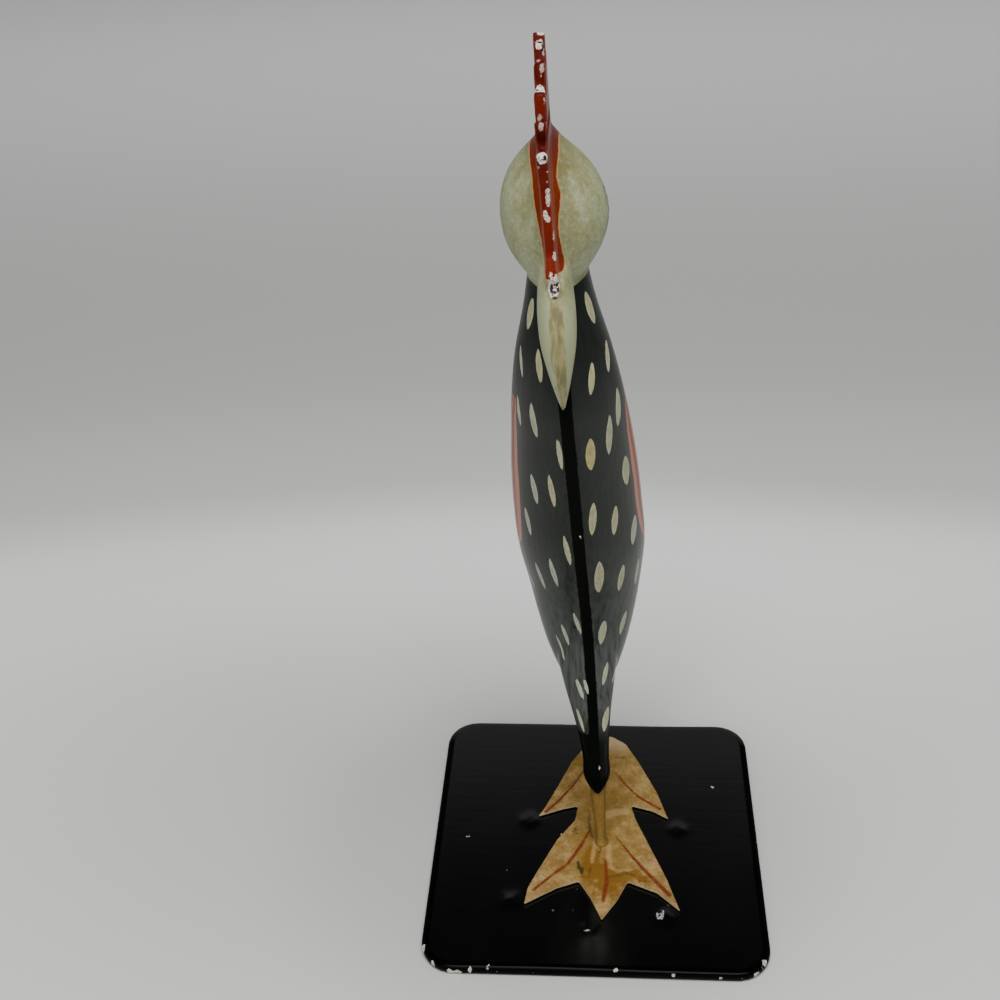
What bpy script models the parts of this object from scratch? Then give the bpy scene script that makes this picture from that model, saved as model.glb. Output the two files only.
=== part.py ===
"""Painted metal rooster figurine: a slender bird on webbed feet, on a square metal plate.

The bird faces -Y, the plate's underside is at z = 0 and the origin is at its centre. Units are metres.
"""

import math

import bmesh
import bpy
from mathutils import Matrix, Vector

MM = 0.001
GAP = 0.3 * MM
MERGE = 0.01 * MM
FLAT_ANGLE = math.radians(0.5)

# Base plate
BASE_SIDE = 100 * MM
BASE_THICK = 3.2 * MM
BASE_CORNER = 10 * MM
BASE_ARRIS = 0.7 * MM
CORNER_STEPS = 6

# Feet, cut from one sheet that lies on the plate
FOOT_THICK = 1.0 * MM
FOOT_ARRIS = 0.15 * MM
FOOT_TOP = BASE_THICK + GAP + FOOT_THICK
LEG_START = FOOT_TOP + GAP

# The figure: its heights are measured from the plate's top face
FIGURE_OFFSET_X = 2.0 * MM
LEAN = math.radians(2.86)
BACK_EDGE_HALF = 1.2 * MM
SECTION_STEPS = 9
SECTION_FULLNESS = 0.85
WIDEST_PLACE = 0.42
RING_STEPS = 3

# Head
HEAD_CENTRE = (0.12, -3.0, 206.0)
HEAD_HALF = (12.2, 16.0, 15.5)
HEAD_CHIN = 18.0
CHIN_TAPER = 0.42
CREST_RISE = 1.3
CREST_HALF = 6.0
CROWN_SIDE_LEAN = 0.055
CHIN_SIDE_LEAN = -0.02
HEAD_SIDES = 28
HEAD_RINGS = 16

# Comb and tail plates
COMB_THICK = 2.6 * MM
COMB_THINNING = 0.65
COMB_DEPTH = 36.0
COMB_SHIFT_X = -0.35 * MM
COMB_VALLEY = 3.0
TAIL_THICK = 2.4 * MM
SCALLOP_STEPS = 6
PLATE_ARRIS = 0.3 * MM

# Stations of the lofted forms, top to bottom, in millimetres:
# height, front edge y, back edge y, half of the width, half of the flat front strip, offset to the side
BODY = (
    (199, -11.0, 5.0, 6.0, 1.4, 0.0),
    (186, -15.5, 8.0, 8.4, 1.5, -0.1),
    (173, -17.5, 11.5, 11.6, 1.5, -0.15),
    (161, -17.0, 16.0, 13.6, 1.5, -0.1),
    (148, -13.5, 22.0, 15.1, 1.6, -0.1),
    (133, -9.5, 29.0, 16.5, 1.7, -0.3),
    (118, -6.0, 35.0, 17.3, 1.7, -0.4),
    (104, -2.5, 38.5, 17.5, 1.6, -0.25),
    (90, 2.0, 39.0, 16.05, 1.5, -0.25),
    (77, 5.0, 36.5, 14.15, 1.4, -0.55),
    (65, 6.0, 33.0, 11.45, 1.3, -0.85),
    (56, 6.5, 28.5, 8.1, 1.2, -0.9),
    (50, 9.0, 24.5, 5.0, 1.0, -0.8),
)
FRONT_THIGH = (
    (76, 5.6, 20.0, 7.0, 1.3, -0.8),
    (65, 5.0, 19.5, 8.6, 1.3, -0.9),
    (56, 3.6, 17.0, 7.5, 1.3, -0.8),
    (47, 1.0, 13.0, 5.7, 1.5, -0.5),
    (39, -1.4, 9.5, 4.4, 1.9, -0.1),
    (32, -3.2, 7.0, 3.9, 2.2, 0.0),
    (27, -4.0, 5.0, 3.9, 2.2, 0.0),
    (24.4, -3.9, 4.0, 2.8, 1.6, 0.0),
    (21.6, -3.5, 1.8, 0.7, 0.4, 0.0),
)
REAR_THIGH = (
    (78, 19.0, 36.0, 7.0, 1.3, 0.0),
    (65, 19.5, 35.5, 6.4, 1.3, 0.0),
    (54, 20.5, 33.5, 5.4, 1.4, 0.0),
    (44, 22.0, 32.0, 4.5, 1.6, 0.0),
    (35, 23.8, 31.5, 3.8, 1.8, 0.0),
    (28, 25.0, 31.4, 3.5, 1.9, 0.0),
    (24.5, 26.0, 31.2, 2.6, 1.5, 0.0),
    (22.8, 27.2, 30.4, 1.4, 0.8, 0.0),
)
BEAK = (
    (202, -20.0, -8.0, 3.2, 1.0, 0.0),
    (197, -25.0, -11.0, 3.8, 1.1, 0.0),
    (190, -28.4, -14.0, 4.3, 1.1, 0.0),
    (184, -29.4, -16.5, 4.0, 1.0, 0.0),
    (178, -29.0, -18.8, 2.9, 0.9, 0.0),
    (173, -27.6, -20.8, 1.8, 0.7, 0.0),
    (169, -26.0, -22.6, 0.8, 0.4, 0.0),
    (167, -25.0, -23.8, 0.3, 0.2, 0.0),
)

# Shanks: top height, top y, bottom y, half width and depth at the top and at the foot, in millimetres
SHANK_TOP = 30.0
FRONT_SHANK_Y = (0.4, -4.0)
REAR_SHANK_Y = (28.6, 30.4)
SHANK_HALF_TOP = (3.0, 2.0)
SHANK_HALF_FOOT = (1.3, 1.5)

# Comb: the low ridge down the forehead, then the spikes, in millimetres as (y, height)
COMB_RIDGE = ((-24.6, 196.0), (-25.6, 200.0), (-23.2, 204.5), (-23.8, 209.5), (-24.0, 215.0), (-24.6, 220.0))
COMB_TIPS = (
    (-27.0, 226.9),
    (-22.6, 232.4),
    (-17.5, 237.1),
    (-11.6, 241.2),
    (-5.2, 246.2),
    (0.8, 240.8),
    (4.8, 233.6),
    (7.6, 226.6),
)
COMB_PEAK = 4
COMB_CENTRE = (-8.0, 214.0)
COMB_ROOT = ((9.0, 219.0), (6.0, 212.0), (0.0, 204.0), (-14.0, 200.0))

# Tail: feather tips that fan out behind the back, in millimetres as (y, height)
TAIL_FRONT = ((26.0, 130.0), (29.0, 141.0), (33.5, 153.0), (39.0, 163.0))
TAIL_TIPS = ((44.0, 168.0), (47.6, 155.0), (49.0, 141.0), (48.8, 127.0), (47.0, 113.5), (43.4, 101.5))
TAIL_ROOT = ((36.0, 93.0), (28.0, 92.0), (20.0, 102.0), (19.0, 122.0))
TAIL_VALLEY = 3.4
TAIL_CENTRE = (24.0, 122.0)

# Outline of the sheet of both feet seen from above, in millimetres, with (x, y) points in turn
FEET_OUTLINE = (
    (-3.6, 37.5),
    (-1.0, 41.2),
    (2.6, 43.0),
    (6.0, 42.0),
    (10.1, 38.8),
    (14.2, 30.6),
    (19.7, 17.3),
    (22.8, 6.4),
    (17.9, 9.6),
    (11.3, 11.6),
    (12.8, 5.5),
    (17.1, -5.9),
    (21.6, -17.8),
    (24.9, -29.1),
    (18.4, -22.7),
    (9.9, -18.9),
    (6.6, -26.0),
    (2.1, -33.0),
    (-1.3, -25.1),
    (-4.8, -19.1),
    (-11.2, -21.7),
    (-20.8, -27.9),
    (-20.0, -22.0),
    (-16.9, -14.7),
    (-11.8, -3.3),
    (-6.3, 5.0),
    (-5.5, 11.1),
    (-10.1, 9.8),
    (-17.8, 6.6),
    (-16.0, 10.0),
    (-11.8, 20.3),
    (-7.8, 30.6),
)

# Paint: colour, roughness and metallic value
ROOSTER_PAINT = ((0.035, 0.042, 0.036), 0.42, 0.0)
FEET_PAINT = ((0.62, 0.45, 0.24), 0.5, 0.0)
BASE_PAINT = ((0.008, 0.009, 0.008), 0.35, 0.0)


def clear_scene():
    for thing in list(bpy.data.objects):
        bpy.data.objects.remove(thing)


def new_collection(name):
    collection = bpy.data.collections.new(name)
    bpy.context.scene.collection.children.link(collection)
    return collection


def paint(name, finish):
    colour, roughness, metallic = finish
    material = bpy.data.materials.new(name)
    material.use_nodes = True
    shader = material.node_tree.nodes["Principled BSDF"]
    shader.inputs["Base Color"].default_value = (*colour, 1.0)
    shader.inputs["Roughness"].default_value = roughness
    shader.inputs["Metallic"].default_value = metallic
    return material


def add_mesh(name, bm, collection):
    bmesh.ops.recalc_face_normals(bm, faces=bm.faces)
    mesh = bpy.data.meshes.new(name)
    bm.to_mesh(mesh)
    bm.free()
    thing = bpy.data.objects.new(name, mesh)
    collection.objects.link(thing)
    return thing


def between(before, start, end, after, t):
    """A smooth curve through start and end, leaning on the values before and after them."""
    values = []
    for a, b, c, d in zip(before, start, end, after, strict=True):
        slope_b = (c - a) / 2
        slope_c = (d - b) / 2
        bend = 2 * b - 2 * c + slope_b + slope_c
        sweep = -3 * b + 3 * c - 2 * slope_b - slope_c
        values.append(((bend * t + sweep) * t + slope_b) * t + b)
    return values


def smooth_stations(stations):
    """The stations with more rows between them, on smooth curves."""
    rows = []
    last = len(stations) - 1
    for i in range(last):
        before = stations[max(i - 1, 0)]
        after = stations[min(i + 2, last)]
        for step in range(RING_STEPS):
            rows.append(between(before, stations[i], stations[i + 1], after, step / RING_STEPS))
    rows.append(list(stations[last]))
    return rows


def almond(front, back, half, strip):
    """One level section: a flat strip in front, swelling sides and a narrow back edge, in metres."""
    back_half = min(BACK_EDGE_HALF, 0.8 * strip)
    power = math.log(0.5) / math.log(WIDEST_PLACE)
    side = []
    for step in range(SECTION_STEPS + 1):
        along = (1 - math.cos(math.pi * step / SECTION_STEPS)) / 2
        edge = strip + (back_half - strip) * along
        swell = max(math.sin(math.pi * along**power), 0.0) ** SECTION_FULLNESS
        side.append((edge + (half - edge) * swell, front + (back - front) * along))
    return side + [(-x, y) for x, y in reversed(side)]


def loft(name, stations, collection):
    """A closed skin over level almond sections."""
    bm = bmesh.new()
    rings = []
    for height, front, back, half, strip, aside in smooth_stations(stations):
        outline = almond(front * MM, back * MM, half * MM, strip * MM)
        z = BASE_THICK + height * MM
        rings.append([bm.verts.new((x + aside * MM, y, z)) for x, y in outline])
    for upper, lower in zip(rings, rings[1:]):
        for i in range(len(upper)):
            j = (i + 1) % len(upper)
            bm.faces.new((upper[i], upper[j], lower[j], lower[i]))
    bm.faces.new(rings[0])
    bm.faces.new(rings[-1])
    return add_mesh(name, bm, collection)


def head(collection):
    """An egg-shaped head, longer and slimmer towards the chin, that rises to the comb and leans with it."""
    bm = bmesh.new()
    bmesh.ops.create_uvsphere(bm, u_segments=HEAD_SIDES, v_segments=HEAD_RINGS, radius=1.0)
    centre = Vector(HEAD_CENTRE) * MM + Vector((0, 0, BASE_THICK))
    for vert in bm.verts:
        above = max(vert.co.z, 0)
        below = max(-vert.co.z, 0)
        x = vert.co.x * HEAD_HALF[0] * (1 - CHIN_TAPER * below**2)
        crest = CREST_RISE * above * math.exp(-((x / CREST_HALF) ** 2))
        z = HEAD_HALF[2] * above - HEAD_CHIN * below + crest
        side_lean = CROWN_SIDE_LEAN if z > 0 else CHIN_SIDE_LEAN
        vert.co = centre + Vector((x - side_lean * z, vert.co.y * HEAD_HALF[1], z)) * MM
    return add_mesh("head_form", bm, collection)


def shank(name, ends_y, collection):
    """A flat leg that narrows down to the foot."""
    bm = bmesh.new()
    rings = []
    foot = (LEG_START - BASE_THICK) / MM
    levels = ((SHANK_TOP, ends_y[0], SHANK_HALF_TOP), (foot, ends_y[1], SHANK_HALF_FOOT))
    sides = 12
    for height, y, (half_x, half_y) in levels:
        ring = []
        for i in range(sides):
            turn = 2 * math.pi * i / sides
            x = half_x * MM * math.cos(turn)
            along = (y + half_y * math.sin(turn)) * MM
            # The leg leans with the figure, so its foot is cut level here and stays level after the lean
            z = BASE_THICK + height * MM
            if height == foot:
                z -= x * math.tan(LEAN)
            ring.append(bm.verts.new((x, along, z)))
        rings.append(ring)
    upper, lower = rings
    for i in range(sides):
        j = (i + 1) % sides
        bm.faces.new((upper[i], upper[j], lower[j], lower[i]))
    bm.faces.new(upper)
    bm.faces.new(lower)
    return add_mesh(name, bm, collection)


def scalloped(tips, centre, valley):
    """Rounded tips with a rounded hollow between each two, drawn in towards the centre."""
    outline = []
    for tip, following in zip(tips, tips[1:]):
        for step in range(SCALLOP_STEPS):
            along = step / SCALLOP_STEPS
            place = Vector(tip).lerp(Vector(following), along)
            inward = (Vector(centre) - place).normalized()
            outline.append(tuple(place + inward * valley * math.sin(math.pi * along) ** 2))
    outline.append(tips[-1])
    return outline


def comb_front(height):
    """Where the comb's front edge lies at a height, in millimetres."""
    edge = COMB_RIDGE[:1] + COMB_TIPS[: COMB_PEAK + 1]
    for (y, z), (following_y, following_z) in zip(edge, edge[1:]):
        if height <= following_z:
            return y + (following_y - y) * (height - z) / (following_z - z)
    return edge[-1][0]


def comb_plate(collection):
    """The comb stands in the bird's own plane, thickest along its front edge."""
    outline = list(COMB_RIDGE) + scalloped(COMB_TIPS, COMB_CENTRE, COMB_VALLEY) + list(COMB_ROOT)
    comb = upright_plate("comb_form", outline, COMB_THICK, PLATE_ARRIS, collection)
    for vert in comb.data.vertices:
        behind = vert.co.y / MM - comb_front((vert.co.z - BASE_THICK) / MM)
        along = min(max(behind / COMB_DEPTH, 0), 1)
        vert.co.x = vert.co.x * (1 - COMB_THINNING * along) + COMB_SHIFT_X
    return comb


def flat_plate(name, outline, thickness, arris, collection):
    """A level plate cut to an outline given in millimetres, with eased edges, centred on its thickness."""
    curve = bpy.data.curves.new(name + "_outline", "CURVE")
    curve.dimensions = "2D"
    curve.fill_mode = "BOTH"
    curve.extrude = thickness / 2
    spline = curve.splines.new("POLY")
    spline.points.add(len(outline) - 1)
    for point, (a, b) in zip(spline.points, outline):
        point.co = (a * MM, b * MM, 0, 1)
    spline.use_cyclic_u = True
    thing = bpy.data.objects.new(name + "_outline", curve)
    collection.objects.link(thing)
    bpy.context.view_layer.update()
    mesh = bpy.data.meshes.new_from_object(thing.evaluated_get(bpy.context.evaluated_depsgraph_get()))
    bpy.data.objects.remove(thing)
    bm = bmesh.new()
    bm.from_mesh(mesh)
    bpy.data.meshes.remove(mesh)
    bmesh.ops.remove_doubles(bm, verts=bm.verts, dist=MERGE)
    bmesh.ops.dissolve_limit(bm, angle_limit=FLAT_ANGLE, verts=bm.verts, edges=bm.edges)
    rims = [edge for edge in bm.edges if sum(abs(face.normal.z) > 0.5 for face in edge.link_faces) == 1]
    bmesh.ops.bevel(bm, geom=rims, offset=arris, segments=1, affect="EDGES", clamp_overlap=True)
    bmesh.ops.triangulate(bm, faces=bm.faces)
    return add_mesh(name, bm, collection)


def upright_plate(name, outline, thickness, arris, collection):
    """The same plate stood in the bird's own plane: the outline runs along y, then upwards."""
    plate = flat_plate(name, outline, thickness, arris, collection)
    plate.data.transform(Matrix(((0, 0, 1, 0), (1, 0, 0, 0), (0, 1, 0, BASE_THICK), (0, 0, 0, 1))))
    return plate


def join(body, extra):
    """Fuses one form into the body."""
    union = body.modifiers.new(extra.name, "BOOLEAN")
    union.operation = "UNION"
    union.object = extra
    extra.hide_render = True
    extra.display_type = "WIRE"


def rooster(parts, cutters):
    body = loft("rooster", BODY, parts)
    tail_outline = list(TAIL_FRONT) + scalloped(TAIL_TIPS, TAIL_CENTRE, TAIL_VALLEY) + list(TAIL_ROOT)
    forms = (
        loft("front_thigh_form", FRONT_THIGH, cutters),
        loft("rear_thigh_form", REAR_THIGH, cutters),
        shank("front_shank_form", FRONT_SHANK_Y, cutters),
        shank("rear_shank_form", REAR_SHANK_Y, cutters),
        head(cutters),
        loft("beak_form", BEAK, cutters),
        comb_plate(cutters),
        upright_plate("tail_form", tail_outline, TAIL_THICK, PLATE_ARRIS, cutters),
    )
    pivot = Vector((0, 0, BASE_THICK))
    lean = Matrix.Translation(pivot + Vector((FIGURE_OFFSET_X, 0, 0))) @ Matrix.Rotation(-LEAN, 4, "Y")
    lean = lean @ Matrix.Translation(-pivot)
    for form in (body, *forms):
        form.data.transform(lean)
    for form in forms:
        join(body, form)
    body.data.materials.append(paint("rooster_paint", ROOSTER_PAINT))
    body.data.shade_smooth()
    body.data.set_sharp_from_angle(angle=math.radians(35))
    return body


def webbed_feet(parts):
    feet = flat_plate("webbed_feet", FEET_OUTLINE, FOOT_THICK, FOOT_ARRIS, parts)
    feet.data.transform(Matrix.Translation((0, 0, FOOT_TOP - FOOT_THICK / 2)))
    feet.data.materials.append(paint("feet_paint", FEET_PAINT))
    return feet


def base_plate(parts):
    outline = []
    reach = (BASE_SIDE / 2 - BASE_CORNER) / MM
    radius = BASE_CORNER / MM
    for quarter, (sx, sy) in enumerate(((1, 1), (-1, 1), (-1, -1), (1, -1))):
        for step in range(CORNER_STEPS + 1):
            turn = math.pi / 2 * (quarter + step / CORNER_STEPS)
            outline.append((sx * reach + radius * math.cos(turn), sy * reach + radius * math.sin(turn)))
    plate = flat_plate("base_plate", outline, BASE_THICK, BASE_ARRIS, parts)
    plate.data.transform(Matrix.Translation((0, 0, BASE_THICK / 2)))
    plate.data.materials.append(paint("base_paint", BASE_PAINT))
    return plate


def main():
    clear_scene()
    parts = new_collection("rooster_figurine")
    cutters = new_collection("joined_forms")
    base_plate(parts)
    webbed_feet(parts)
    rooster(parts, cutters)


main()
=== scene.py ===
"""Painted metal rooster figurine: the fine surfaces and paint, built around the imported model."""

import math
from functools import reduce
from itertools import product
from types import SimpleNamespace

import bmesh
import bpy
import numpy as np
from bpy.props import FloatProperty, FloatVectorProperty, PointerProperty
from mathutils import Matrix, Vector
from mathutils.bvhtree import BVHTree


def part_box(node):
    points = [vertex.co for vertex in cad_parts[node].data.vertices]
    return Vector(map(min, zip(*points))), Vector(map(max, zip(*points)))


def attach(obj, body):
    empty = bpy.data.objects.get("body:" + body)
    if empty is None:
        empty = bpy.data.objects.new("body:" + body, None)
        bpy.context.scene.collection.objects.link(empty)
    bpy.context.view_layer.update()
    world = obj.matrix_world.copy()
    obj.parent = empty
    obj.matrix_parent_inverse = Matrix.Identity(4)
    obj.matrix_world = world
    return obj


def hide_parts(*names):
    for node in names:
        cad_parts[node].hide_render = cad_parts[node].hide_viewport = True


bl_info = {
    "name": "Painted Metal Rooster",
    "version": (1, 0, 0),
    "blender": (4, 5, 0),
    "location": "3D View > Sidebar > Rooster",
    "description": "Models and paints a metal rooster figurine on webbed feet and a square plate",
    "category": "Object",
}

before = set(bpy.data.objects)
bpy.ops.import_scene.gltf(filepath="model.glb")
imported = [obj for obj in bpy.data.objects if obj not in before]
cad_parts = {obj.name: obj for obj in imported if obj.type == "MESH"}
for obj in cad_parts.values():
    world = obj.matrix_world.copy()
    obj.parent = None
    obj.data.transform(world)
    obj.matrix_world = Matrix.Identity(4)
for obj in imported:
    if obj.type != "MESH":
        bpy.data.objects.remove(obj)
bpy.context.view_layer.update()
MM = 0.001

# Places read from the imported model's parts
PLATE_LOW, PLATE_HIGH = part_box("base_plate")
FEET_LOW, FEET_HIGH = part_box("webbed_feet")
PLATE_TOP = PLATE_HIGH.z

# Camera of the photograph: an image of 1000 by 1000 pixels
IMAGE_SIDE = 1000
FOCAL_PIXELS = 1324.6
SENSOR_MM = 36.0
CAMERA_SPOT = Vector((3.06, -285.65, 317.86)) * MM + Vector((0, 0, PLATE_TOP))
CAMERA_TURNS = (math.radians(90 - 33.78), math.radians(-3.03), math.radians(5.455))

# Stage: a wide round floor under large soft lights, in a room that is pale low down and dim overhead
FLOOR_RADIUS = 3.0
# Painted light and shade on the floor. The rings paint how the light falls over the floor: paler a little
# way out, darker further back and pale again far off. Then come painted shadow round the plate and a painted
# patch of light behind the figure. Each: middle, stretch, where each begins and is full, share, brightness
FLOOR_LIGHT_AND_SHADE = (
    ((0, 0, 0), (0.4, 1, 1), 0.090, 0.150, 0.20, 1.0),
    ((0, 0, 0), (0.4, 1, 1), 0.160, 0.215, 0.30, 0.0),
    ((0, 0, 0), (0.4, 1, 1), 0.205, 0.320, 0.14, 0.0),
    ((0, 0, 0), (0.4, 1, 1), 0.340, 1.050, 0.97, 1.0),
    ((-0.040, 0.012, 0), (1, 1.7, 1), 0.22, 0.05, 0.20, 0.0),
    ((-0.012, 0, 0), (1, 1.2, 1), 0.105, 0.055, 0.13, 0.0),
    ((0.005, 0.125, 0), (0.6, 1, 1), 0.115, 0.02, 0.20, 1.0),
)
ROOM_TINT = (0.98, 1.02, 0.99)
ROOM_FALL = ((0.64, 0.34), (0.695, 0.30), (0.72, 0.13), (0.755, 0.055), (0.80, 0.018))
# Each light: name, place, what it is aimed at, size and power
LIGHTS = (
    ("ceiling_light", (0.08, -0.35, 1.2), (0, 0, 0), 0.9, 19.0),
    ("front_light", (-0.4, -1.2, 0.9), (0, 0, 0.1), 1.0, 6.0),
)

# The figure's own frame: it stands upright there, and heights in millimetres start at the plate's top
OFFSET_X = 2.0
LEAN = math.radians(2.86)

# Level stations of the drawn-out forms, top to bottom, in millimetres: height, front edge y, back edge y,
# half of the width, half of the flat front strip, offset to the side
BODY = (
    (199, -11.0, 5.0, 6.0, 1.4, 0.0),
    (186, -15.5, 8.0, 8.4, 1.5, -0.1),
    (173, -17.5, 11.5, 11.6, 1.5, -0.15),
    (161, -17.0, 16.0, 13.6, 1.5, -0.1),
    (148, -13.5, 22.0, 15.1, 1.6, -0.1),
    (133, -9.5, 29.0, 16.5, 1.7, -0.3),
    (118, -6.0, 35.0, 17.3, 1.7, -0.4),
    (104, -2.5, 38.5, 17.5, 1.6, -0.25),
    (90, 2.0, 39.0, 16.05, 1.5, -0.25),
    (77, 5.0, 36.5, 14.15, 1.4, -0.55),
    (65, 6.0, 33.0, 11.45, 1.3, -0.85),
    (56, 6.5, 28.5, 8.1, 1.2, -0.9),
    (50, 9.0, 24.5, 5.0, 1.0, -0.8),
)
FRONT_THIGH = (
    (76, 5.6, 20.0, 7.0, 1.3, -0.8),
    (65, 5.0, 19.5, 8.6, 1.3, -0.9),
    (56, 3.6, 17.0, 7.5, 1.3, -0.8),
    (47, 1.0, 13.0, 5.7, 1.5, -0.5),
    (39, -1.4, 9.5, 4.4, 1.9, -0.1),
    (32, -3.2, 7.0, 3.9, 2.2, 0.0),
    (27, -4.0, 5.0, 3.9, 2.2, 0.0),
    (24.4, -3.9, 4.0, 2.8, 1.6, 0.0),
    (21.6, -3.5, 1.8, 0.7, 0.4, 0.0),
)
REAR_THIGH = (
    (78, 19.0, 36.0, 7.0, 1.3, 0.0),
    (65, 19.5, 35.5, 6.4, 1.3, 0.0),
    (54, 20.5, 33.5, 5.4, 1.4, 0.0),
    (44, 22.0, 32.0, 4.5, 1.6, 0.0),
    (35, 23.8, 31.5, 3.8, 1.8, 0.0),
    (28, 25.0, 31.4, 3.5, 1.9, 0.0),
    (24.5, 26.0, 31.2, 2.6, 1.5, 0.0),
    (22.8, 27.2, 30.4, 1.4, 0.8, 0.0),
)
BEAK = (
    (202, -20.0, -8.0, 3.2, 1.0, 0.0),
    (197, -25.0, -11.0, 3.8, 1.1, 0.0),
    (190, -28.4, -14.0, 4.3, 1.1, 0.0),
    (184, -29.4, -16.5, 4.0, 1.0, 0.0),
    (178, -29.0, -18.8, 2.9, 0.9, 0.0),
    (173, -27.6, -20.8, 1.8, 0.7, 0.0),
    (169, -26.0, -22.6, 0.8, 0.4, 0.0),
    (167, -25.0, -23.8, 0.3, 0.2, 0.0),
)
BACK_EDGE_HALF = 1.2
SECTION_FULLNESS = 0.85
WIDEST_PLACE = 0.42
SECTION_STEPS = 28
RING_SPACING = 1.2

# Head and legs, in millimetres in the figure's own frame. HEAD_MM is what one step of the head's swell is.
HEAD_CENTRE = (0.12, -3.0, 206.0)
HEAD_HALF = (12.2, 16.0, 15.5)
HEAD_CHIN = 18.0
CHIN_TAPER = 0.42
CREST_RISE = 1.3
CREST_HALF = 6.0
CROWN_SIDE_LEAN = 0.055
CHIN_SIDE_LEAN = -0.02
SHANK_TOP = 30.0
FRONT_SHANK_Y = (0.4, -4.0)
REAR_SHANK_Y = (28.6, 30.4)
SHANK_HALF_X = (3.0, 1.3)
SHANK_HALF_Y = (2.0, 1.5)
SHANK_FLARE = 1.2
SHANK_FLARE_HIGH = 0.9
SHANK_SIDES = 24
SHANK_RINGS = 60
HEAD_MM = 14

# Comb and tail plates, in millimetres as (y, height)
COMB_THICK = 2.6
COMB_THINNING = 0.65
COMB_DEPTH = 36.0
COMB_SHIFT_X = -0.35
COMB_FOOT_RISE = 4.6
COMB_FOOT_LIMIT = 2.2
COMB_FOOT_SPREAD = 1.6
COMB_VALLEY = 3.0
COMB_RIDGE = ((-24.6, 196.0), (-25.6, 200.0), (-23.2, 204.5), (-23.8, 209.5), (-24.0, 215.0), (-24.6, 220.0))
COMB_TIPS = (
    (-27.0, 226.9), (-22.6, 232.4), (-17.5, 237.1), (-11.6, 241.2), (-5.2, 246.38), (0.8, 240.8),
    (4.8, 233.6), (7.6, 226.6),
)
COMB_PEAK = 4
COMB_CENTRE = (-8.0, 214.0)
COMB_ROOT = ((9.0, 219.0), (6.0, 212.0), (0.0, 204.0), (-14.0, 200.0))
TAIL_THICK = 2.4
TAIL_VALLEY = 3.4
TAIL_FRONT = ((26.0, 130.0), (29.0, 141.0), (33.5, 153.0), (39.0, 163.0))
TAIL_TIPS = ((44.0, 168.0), (47.6, 155.0), (49.0, 141.0), (48.8, 127.0), (47.0, 113.5), (43.4, 101.5))
TAIL_ROOT = ((36.0, 93.0), (28.0, 92.0), (20.0, 102.0), (19.0, 122.0))
TAIL_CENTRE = (24.0, 122.0)
SCALLOP_STEPS = 10

# Outline of the sheet of both feet seen from above, in millimetres
FEET_OUTLINE = (
    (-3.6, 37.5), (-1.0, 41.2), (2.6, 43.0), (6.0, 42.0), (10.1, 38.8), (14.2, 30.6), (19.7, 17.3),
    (22.8, 6.4), (17.9, 9.6), (11.3, 11.6), (12.8, 5.5), (17.1, -5.9), (21.6, -17.8), (24.9, -29.1),
    (18.4, -22.7), (9.9, -18.9), (6.6, -26.0), (2.1, -33.0), (-1.3, -25.1), (-4.8, -19.1), (-11.2, -21.7),
    (-20.8, -27.9), (-20.0, -22.0), (-16.9, -14.7), (-11.8, -3.3), (-6.3, 5.0), (-5.5, 11.1), (-10.1, 9.8),
    (-17.8, 6.6), (-16.0, 10.0), (-11.8, 20.3), (-7.8, 30.6),
)

# Cream brush marks as the photograph shows them: pixels of the upper and the lower end, width, yellowness.
# MARK_FILL is the share of the width that the paint fills.
SEEN_MARKS = (
    (533, 297, 527.5, 330, 6, 0.4), (585, 291, 595, 324, 7, 0.45), (520.6, 344, 522.7, 378, 3, 0.1),
    (538, 348, 541, 384, 7, 0.55), (605.6, 339, 608.4, 373, 4.5, 0.4), (592, 361, 590.7, 396, 7, 0.6),
    (517.6, 394, 521, 427, 3, 0.1), (531, 402, 537, 438.5, 6, 0.2), (616.7, 386.5, 618, 427, 5, 0.2),
    (609.5, 414.5, 609, 455, 6, 0.25), (557, 437, 562, 471, 6, 0.3), (590.3, 438, 591, 471, 10, 1.0),
    (625, 455.5, 627, 485, 6, 0.3), (531, 473, 537.4, 505, 5, 0.0), (548.6, 474, 554.6, 508, 6, 0.5),
    (593.5, 502, 592, 536, 8, 0.5), (615.8, 505, 614, 535.5, 6, 0.4), (635, 514, 632.7, 545, 5, 0.0),
    (525, 506.5, 531, 536, 3.5, 0.0), (563.5, 534.6, 570.8, 566.5, 6, 0.35),
    (599.3, 561, 598.6, 593, 9.5, 0.35), (623.5, 564, 618.8, 591.6, 5, 0.2), (638.8, 558, 635, 585, 3, 0.1),
    (535, 561, 545.7, 590, 3, 0.0), (549.3, 557.5, 558, 587, 5, 0.0), (528.5, 571, 536, 592, 1.5, 0.0),
    (573, 612, 581.3, 635, 5, 0.0), (560.6, 622.5, 569.3, 646.7, 4, 0.0), (555, 632.7, 565, 662.7, 3, 0.0),
    (604.6, 620, 600.8, 644.8, 8, 0.15), (626.3, 610.4, 620, 635, 4, 0.1),
    (607.8, 661.4, 602.7, 686.3, 5, 0.1), (618.6, 656, 612, 683.5, 3, 0.1),
    (575.3, 676.7, 583.5, 700, 5, 0.0), (583.5, 677.6, 588.6, 695.5, 4, 0.0),
    (576, 706.7, 584.4, 733, 3.5, 0.2), (608.4, 706, 604, 732, 6, 0.2),
)
MARK_FILL = 0.93

# Brush marks on the hidden sides: heights of their rows, where a row begins and its spacing as shares of the
# depth there, the run of a mark in y and height, half of its width, how far aside the search for its place
# begins, how far it keeps from the others, and how deep behind the visible skin a place counts as hidden
HIDDEN_ROWS = (172.0, 62.0, -10.5)
HIDDEN_STARTS = (0.74, 0.60)
HIDDEN_SPACING = 0.29
HIDDEN_RUN = (1.2, -8)
HIDDEN_HALF = 0.9 * MM
FAR_ASIDE = 60
MARK_CLEARANCE = 4.5 * MM
HIDDEN_DEPTH = 0.3 * MM
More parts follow.
